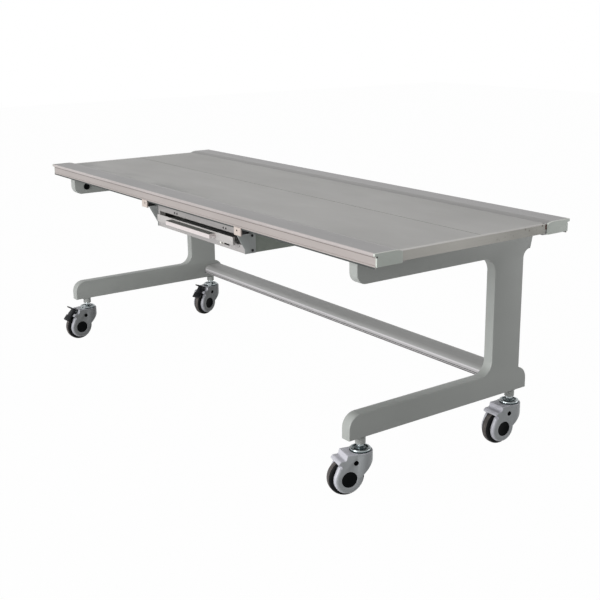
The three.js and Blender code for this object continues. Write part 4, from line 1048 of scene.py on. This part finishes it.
for share in (0.14, 0.38, 0.62, 0.86):
    x, z = Vector(PLATE_HIGH).lerp(Vector(PLATE_TIP), share)
    rib = ((x - 1.4, z - 0.6), (x + 0.6, z - 1.4), (x + 1.8, z + 1), (x + 0.6, z + 1.9))
    ribs.append(soften(pull(ALONG_Y, -RIB_HALF, RIB_HALF, *rib), 0.4, 2, 40))
pivot_pin = carve(
    soften(rod(ALONG_Y, PIVOT, PIN_HEAD, -ROCKER_HALF - 0.8, ROCKER_HALF + 0.8), 0.6, 2, 40),
    rod(ALONG_Y, PIVOT, PIN_HEAD + 2, 0.5 - ROCKER_HALF, ROCKER_HALF - 0.5),
)
mark(pivot_pin, lambda face, middle: 1)
rocker = gather(rocker, plate, pivot_pin, *ribs)
pedal_black = moulded("pedal_black", (8, 9, 12), (17, 18, 22), 0.32, 0.18)
pin_grey = moulded("pivot_grey", (66, 70, 71), (80, 84, 85), 0.4)
pedal_skins = (pedal_black, pin_grey)
at_stems("_brake_rocker", rocker, pedal_skins, "_brake", "black_plastic", "_brake_pedal", BRAKED)


# Lock plates: upright zinc-plated tabs beside the braked casters' cups, with a hole for the lock spring.
# A tang holds each one in the fork's top.
TAB_TOP = FORK_TOP + 16.5
TAB_FOOT = FORK_TOP + 0.3
TAB_X = 32
TAB_HALF = 11.5
TAB_ROUND = 3
TANG_HALF = 5
TANG_SINK = 6
TAB_FRONT = 22
TAB_REAR = 24
tab = pull(
    ALONG_Y, TAB_FRONT, TAB_REAR,
    (-TANG_HALF, FORK_TOP - TANG_SINK), (TANG_HALF, FORK_TOP - TANG_SINK), (TANG_HALF, TAB_FOOT),
    (TAB_HALF, TAB_FOOT), (TAB_HALF, TAB_TOP - TAB_ROUND),
    (TAB_HALF - TAB_ROUND, TAB_TOP - TAB_ROUND, 90), (TAB_ROUND - TAB_HALF, TAB_TOP),
    (TAB_ROUND - TAB_HALF, TAB_TOP - TAB_ROUND, 90), (-TAB_HALF, TAB_FOOT), (-TANG_HALF, TAB_FOOT),
)
spring_hole = rod(ALONG_Y, (0, FORK_TOP + 8.25), 3.5, TAB_FRONT - 2, TAB_REAR + 2)
tab = placed(soften(carve(tab, spring_hole), 0.4, 2, 50), (TAB_X, 0, 0))
at_stems("_lock_tab", tab, (zinc,), "_caster", "zinc", "_lock_plate", BRAKED)


# Carriage shell: a folded sheet-steel channel that holds the tray's runners, with a panel across its rear.
# It is powder-coated a light grey; its sides are a darker copy as painted shade, and its inside faces are
# painted near black as shade. Everything on it is placed from its own middle.
CARRIAGE = 73
SHELL_HALF = 273
SHELL_END = 312
SHELL_BOTTOM = 564
SHELL_TOP = 648
SHEET = 2
INNER_HALF = SHELL_HALF - SHEET
INNER_FLOOR = SHELL_BOTTOM + SHEET
# Painted shade: the sides are a darker, greener copy of the carriage's coat.
shaded_side_sheet = powder_coat("carriage_side_painted_shade", (124, 131, 123), (134, 140, 132))
front_sheet = powder_coat("carriage_front_coat", (149, 146, 145), (162, 159, 158))
tray_sheet = powder_coat("tray_front_coat", (162, 159, 157), (175, 172, 170))
bracket_sheet = powder_coat("bracket_coat", (152, 156, 155), (164, 168, 167))
inside_painted_shade = powder_coat("carriage_inside_painted_shade", (34, 33, 32), (48, 46, 44))


def hang(name, shape, finishes, slot, *nodes, body="carriage"):
    """A piece of the carriage, moved to where the carriage stands."""
    bmesh.ops.translate(shape, verts=shape.verts, vec=(CARRIAGE, 0, 0))
    make(name, shape, finishes, body, slot, *nodes)


def block(x0, x1, y0, y1, z0, z1):
    """A box between two places along each axis."""
    return pull(ALONG_Z, z0, z1, (x0, y0), (x1, y0), (x1, y1), (x0, y1))


def under_shell(edge):
    return lies_across(0)(edge) and all(v.co.z < SHELL_BOTTOM + NEAR for v in edge.verts)


half_channel = (
    (SHELL_HALF, SHELL_BOTTOM), (SHELL_HALF, SHELL_TOP), (INNER_HALF, SHELL_TOP), (INNER_HALF, INNER_FLOOR)
)
channel = pull(ALONG_Y, -SHELL_END, SHELL_END, *mirrored(*half_channel))
soften(channel, 1.5, 3, where=under_shell)
# The channel's inside faces get the painted shade.
for face in channel.faces:
    middle = face.calc_center_median()
    inside = abs(middle.x) < INNER_HALF + NEAR and INNER_FLOOR - NEAR < middle.z < SHELL_TOP - NEAR
    face.material_index = int(inside)
shell_skins = (shaded_side_sheet, inside_painted_shade)
hang("carriage_shell_channel", channel, shell_skins, "sheet_metal", "carriage_shell")
back = soften(block(-SHELL_HALF, SHELL_HALF, SHELL_END, SHELL_END + SHEET, SHELL_BOTTOM, SHELL_TOP), 0.5)
# The rear panel's inner face gets the painted shade.
mark(back, lambda face, middle: face.normal.y < -SQUARE_ON)
hang("carriage_rear_sheet", back, shell_skins, "sheet_metal", "carriage_rear_panel")


# Carriage front plate: sheet steel with the tray's window, the catch's slot and a small hole pierced in it.
# Two pairs of screws above the window hold the runners.
def screw(radius, height):
    """A round-headed screw with a hex socket, standing up from nought."""
    profile = (
        (0, -0.5), (radius, -0.5), (radius, height * 0.4), (radius * 0.75, height * 0.85),
        (radius * 0.55, height), (0, height),
    )
    socket = pull(ALONG_Z, height * 0.35, height + 1, *hexagon(radius * 0.42))
    return carve(turn(*profile, steps=24), socket)


PLATE_FACE = -314
THROUGH = (-320, -300)
WINDOW = (-261, 262, *THROUGH, 588, 616.5)
CATCH_SLOT = (135, 182, *THROUGH, 573.4, 582.6)
SMALL_HOLE = (241, 582)
front = carve(
    block(-SHELL_HALF, SHELL_HALF, PLATE_FACE, PLATE_FACE + SHEET, SHELL_BOTTOM, SHELL_TOP),
    block(*WINDOW),
    block(*CATCH_SLOT),
    rod(ALONG_Y, SMALL_HOLE, 2.5, *THROUGH),
)
soften(front, 0.4)
# The plate's inner face gets the painted shade.
mark(front, lambda face, middle: face.normal.y > SQUARE_ON)
hang("carriage_front_sheet", front, (front_sheet, inside_painted_shade), "sheet_metal", "carriage_front_plate")
small_screw = screw(3.2, 1.8)
runner_places = [(x, PLATE_FACE, 624.5) for x in (-157, -141, 150, 165)]
runner_screws = gather(*[placed(small_screw, place, FACING_FRONT) for place in runner_places])
black_steel = moulded("black_steel", (30, 30, 31), (46, 46, 47), 0.3, 0.2)
hang("runner_screws", runner_screws, (black_steel,), "black_plastic")


# Hanger brackets: folded sheet brackets screwed to the shell's corners, with a sloping front edge
# and a flange on which the glide block and the track hanger stand.
def at_corners(suffix, shape, finishes, slot, node=None):
    """The same piece at the carriage's four corners."""
    for corner, flip in corners.items():
        nodes = [corner + node] if node else []
        hang(corner + suffix, flipped(shape, flip), finishes, slot, *nodes)


BRACKET_FOOT = -317
BRACKET_TIP = -348
BRACKET_REAR = -278
SLOPE_LOW = 577
FLANGE_TOP = 634
FLANGE_END = 313
FLANGE_UNDER = FLANGE_TOP - SHEET
HANGER_X = 294
SCREW_Y = -290
FACING_DOWN = Matrix.Rotation(math.radians(180), 3, "X")
plate = pull(
    ALONG_X, SHELL_HALF, SHELL_HALF + SHEET,
    (BRACKET_FOOT, SHELL_BOTTOM), (BRACKET_REAR, SHELL_BOTTOM), (BRACKET_REAR, FLANGE_TOP),
    (BRACKET_TIP, FLANGE_TOP), (BRACKET_FOOT, SLOPE_LOW),
)
flange = block(SHELL_HALF + 0.5, FLANGE_END, BRACKET_TIP, BRACKET_REAR, FLANGE_UNDER, FLANGE_TOP)
bracket = gather(soften(plate, 0.5), soften(flange, 0.5))
at_corners("_bracket_fold", bracket, (bracket_sheet,), "sheet_metal", "_hanger_bracket")
large_screw = screw(4.2, 2.6)
bracket_screws = gather(
    placed(large_screw, (SHELL_HALF + SHEET, SCREW_Y, 572.5), FACING_RIGHT),
    placed(large_screw, (SHELL_HALF + SHEET, SCREW_Y, 618), FACING_RIGHT),
    placed(large_screw, (HANGER_X, SLOT_Y, FLANGE_UNDER), FACING_DOWN),
)
at_corners("_bracket_screws", bracket_screws, (black_steel,), "black_plastic")


# Glide blocks: beige nylon facings on blocks under the rails' outer edges, that steady the carriage; each
# block's part behind the facing is painted black as the shade under the rail.
# Black nylon hangers with a round head run in the rails' slots behind them and carry its weight.
GLIDE = (275.5, 312.5)
GLIDE_FACE = -353.5
GLIDE_REAR = -333
GLIDE_TOP = 653.7
LIP_REAR = -348.3
LIP_FOOT = 629.5
LIP_TOP = 640
FACING_REAR = -349
EDGE_ROOM = 0.3
GLIDE_SCREW = (291, 644)
nylon = moulded("beige_nylon", (170, 159, 152), (187, 176, 169), 0.45)
lip = block(GLIDE[0] + SHY, GLIDE[1] - SHY, GLIDE_FACE + SHY, LIP_REAR, LIP_FOOT, LIP_TOP)
strip_room = block(270, 320, EDGE_FACE - EDGE_ROOM, RAIL_FACE + 0.2, EDGE_BOTTOM - EDGE_ROOM, 660)
glide = carve(
    block(*GLIDE, GLIDE_FACE, GLIDE_REAR, FLANGE_TOP, GLIDE_TOP),
    ("UNION", lip),
    strip_room,
    rod(ALONG_Y, GLIDE_SCREW, 3, GLIDE_FACE - 6.5, GLIDE_FACE + 3),
)
every = [*glide.verts, *glide.edges, *glide.faces]
bmesh.ops.bisect_plane(glide, geom=every, plane_co=(0, FACING_REAR, 0), plane_no=(0, 1, 0))
# Painted shade: the part behind the facing is black.
mark(glide, lambda face, middle: middle.y > FACING_REAR)
at_corners("_glide_nylon", glide, (nylon, black_steel), "nylon", "_glide_block")
glide_screw = placed(small_screw, (GLIDE_SCREW[0], GLIDE_FACE + 2.6, GLIDE_SCREW[1]), FACING_FRONT)
at_corners("_glide_screw", glide_screw, (black_steel,), "black_plastic")
post = turn(
    (0, FLANGE_TOP), (9, FLANGE_TOP), (9, GLIDE_TOP), (7, GLIDE_TOP), (7, 657.3), (11.4, 657.3),
    (12, 657.9), (12, 661.7), (11.4, 662.3), (0, 662.3),
    steps=32,
)
post = placed(post, (HANGER_X, SLOT_Y, 0))
at_corners("_hanger_post", post, (black_plastic,), "black_plastic", "_track_hanger")


# Runners, grid, tray pan and jaws: black anodised runners inside the shell, the anti-scatter grid on them,
# and the folded pan with its two cassette jaws. They show when the tray is pulled out.
def grid_lines():
    finish = Finish("grid_aluminium")
    inputs = {"Vector": finish.place, "Scale": 160.0}
    lines = finish.node("ShaderNodeTexWave", {"bands_direction": "X"}, inputs)
    cloud = finish.mottle(8, detail=3)
    colour = finish.shade(0.5 * lines + 0.5 * cloud, (120, 122, 124), (160, 162, 164))
    return finish.lay(Base_Color=colour, Metallic=0.6, Roughness=0.42 + 0.1 * cloud)


runner_black = aluminium("runner_black", (46, 44, 42), (62, 60, 57), 0.5, 0.1)
tray_steel = aluminium("tray_sheet", (164, 165, 163), (182, 183, 180), 0.34)
for finish, nodes in (
    (runner_black, ("left_runner", "right_runner")),
    (grid_lines(), ("anti_scatter_grid",)),
    (tray_steel, ("tray_pan", "left_jaw", "right_jaw")),
):
    for node in nodes:
        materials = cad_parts[node].data.materials
        materials.clear()
        materials.append(finish.material)


# Tray front: a light sheet front with returned ends, riveted to the pan.
# It stands a little in front of the carriage's window.
TRAY_HALF = 238.5
TRAY_FACE = -336
TRAY_RETURN = -328
TRAY_FOOT = 587.4
TRAY_TOP = 612.4
half_front = (
    (TRAY_HALF, TRAY_FACE), (TRAY_HALF, TRAY_RETURN),
    (TRAY_HALF - SHEET, TRAY_RETURN), (TRAY_HALF - SHEET, TRAY_FACE + SHEET),
)
tray_front = pull(ALONG_Z, TRAY_FOOT, TRAY_TOP, *mirrored(*half_front))
soften(tray_front, 0.7)
hang("tray_front_sheet", tray_front, (tray_sheet,), "sheet_metal", "tray_front", body="tray")


# Tray handle: an extruded aluminium hook along the tray's front, open underneath for the fingers.
# Its top is finely grooved and painted dark as the shade under the tray's front, and it is screwed on from
# inside the tray.
HANDLE_HALF = 139
HANDLE_FACE = -358
HANDLE_FOOT = 593.9
HANDLE_TOP = 608.4
HANDLE_WALL = 4
HANDLE_ROUND = 3
FINE_GROOVES = (-341.5, -345.5, -349.5)
SHADED_TOP_LEAN = 0.4
groove_strokes = []
for y in FINE_GROOVES:
    groove_strokes += [(y + 0.5, HANDLE_TOP), (y, HANDLE_TOP - 0.6), (y - 0.5, HANDLE_TOP)]
handle = pull(
    ALONG_X, -HANDLE_HALF, HANDLE_HALF,
    (HANDLE_FACE + HANDLE_WALL, HANDLE_FOOT), (HANDLE_FACE + HANDLE_WALL, HANDLE_TOP - HANDLE_WALL),
    (TRAY_FACE - HANDLE_WALL, HANDLE_TOP - HANDLE_WALL), (TRAY_FACE - HANDLE_WALL, HANDLE_FOOT),
    (TRAY_FACE, HANDLE_FOOT), (TRAY_FACE, HANDLE_TOP), *groove_strokes,
    (HANDLE_FACE + HANDLE_ROUND, HANDLE_TOP),
    (HANDLE_FACE + HANDLE_ROUND, HANDLE_TOP - HANDLE_ROUND, 90), (HANDLE_FACE, HANDLE_FOOT),
)
# Painted shade: the upward faces get the dark finish.
mark(handle, lambda face, middle: face.normal.z > SHADED_TOP_LEAN)
handle_skin = aluminium("handle_aluminium", (204, 196, 195), (220, 212, 211), 0.26)
shaded_handle_top = aluminium("handle_top_painted_shade", (76, 77, 73), (100, 100, 96), 0.5, 0.2)
skins = (handle_skin, shaded_handle_top)
hang("tray_handle_extrusion", handle, skins, "rail_aluminium", "tray_handle", body="tray")


# Tray catch: a white nylon stud that slides in the front plate's slot, with a keeper behind the plate.
# Its edges are rounded for the thumb.
white_nylon = moulded("white_nylon", (224, 222, 216), (236, 234, 228), 0.4)
STUD = (135.3, 143.3, -320, -311, 574.3, 581.7)
KEEPER = (132.3, 146.3, -311.7, -308.7, 571.3, 584.7)
stud = soften(block(*STUD), 0.8, 2)
keeper = soften(block(*KEEPER), 0.4)
hang("tray_catch_stud", gather(stud, keeper), (white_nylon,), "white_nylon", "tray_catch", body="catch")
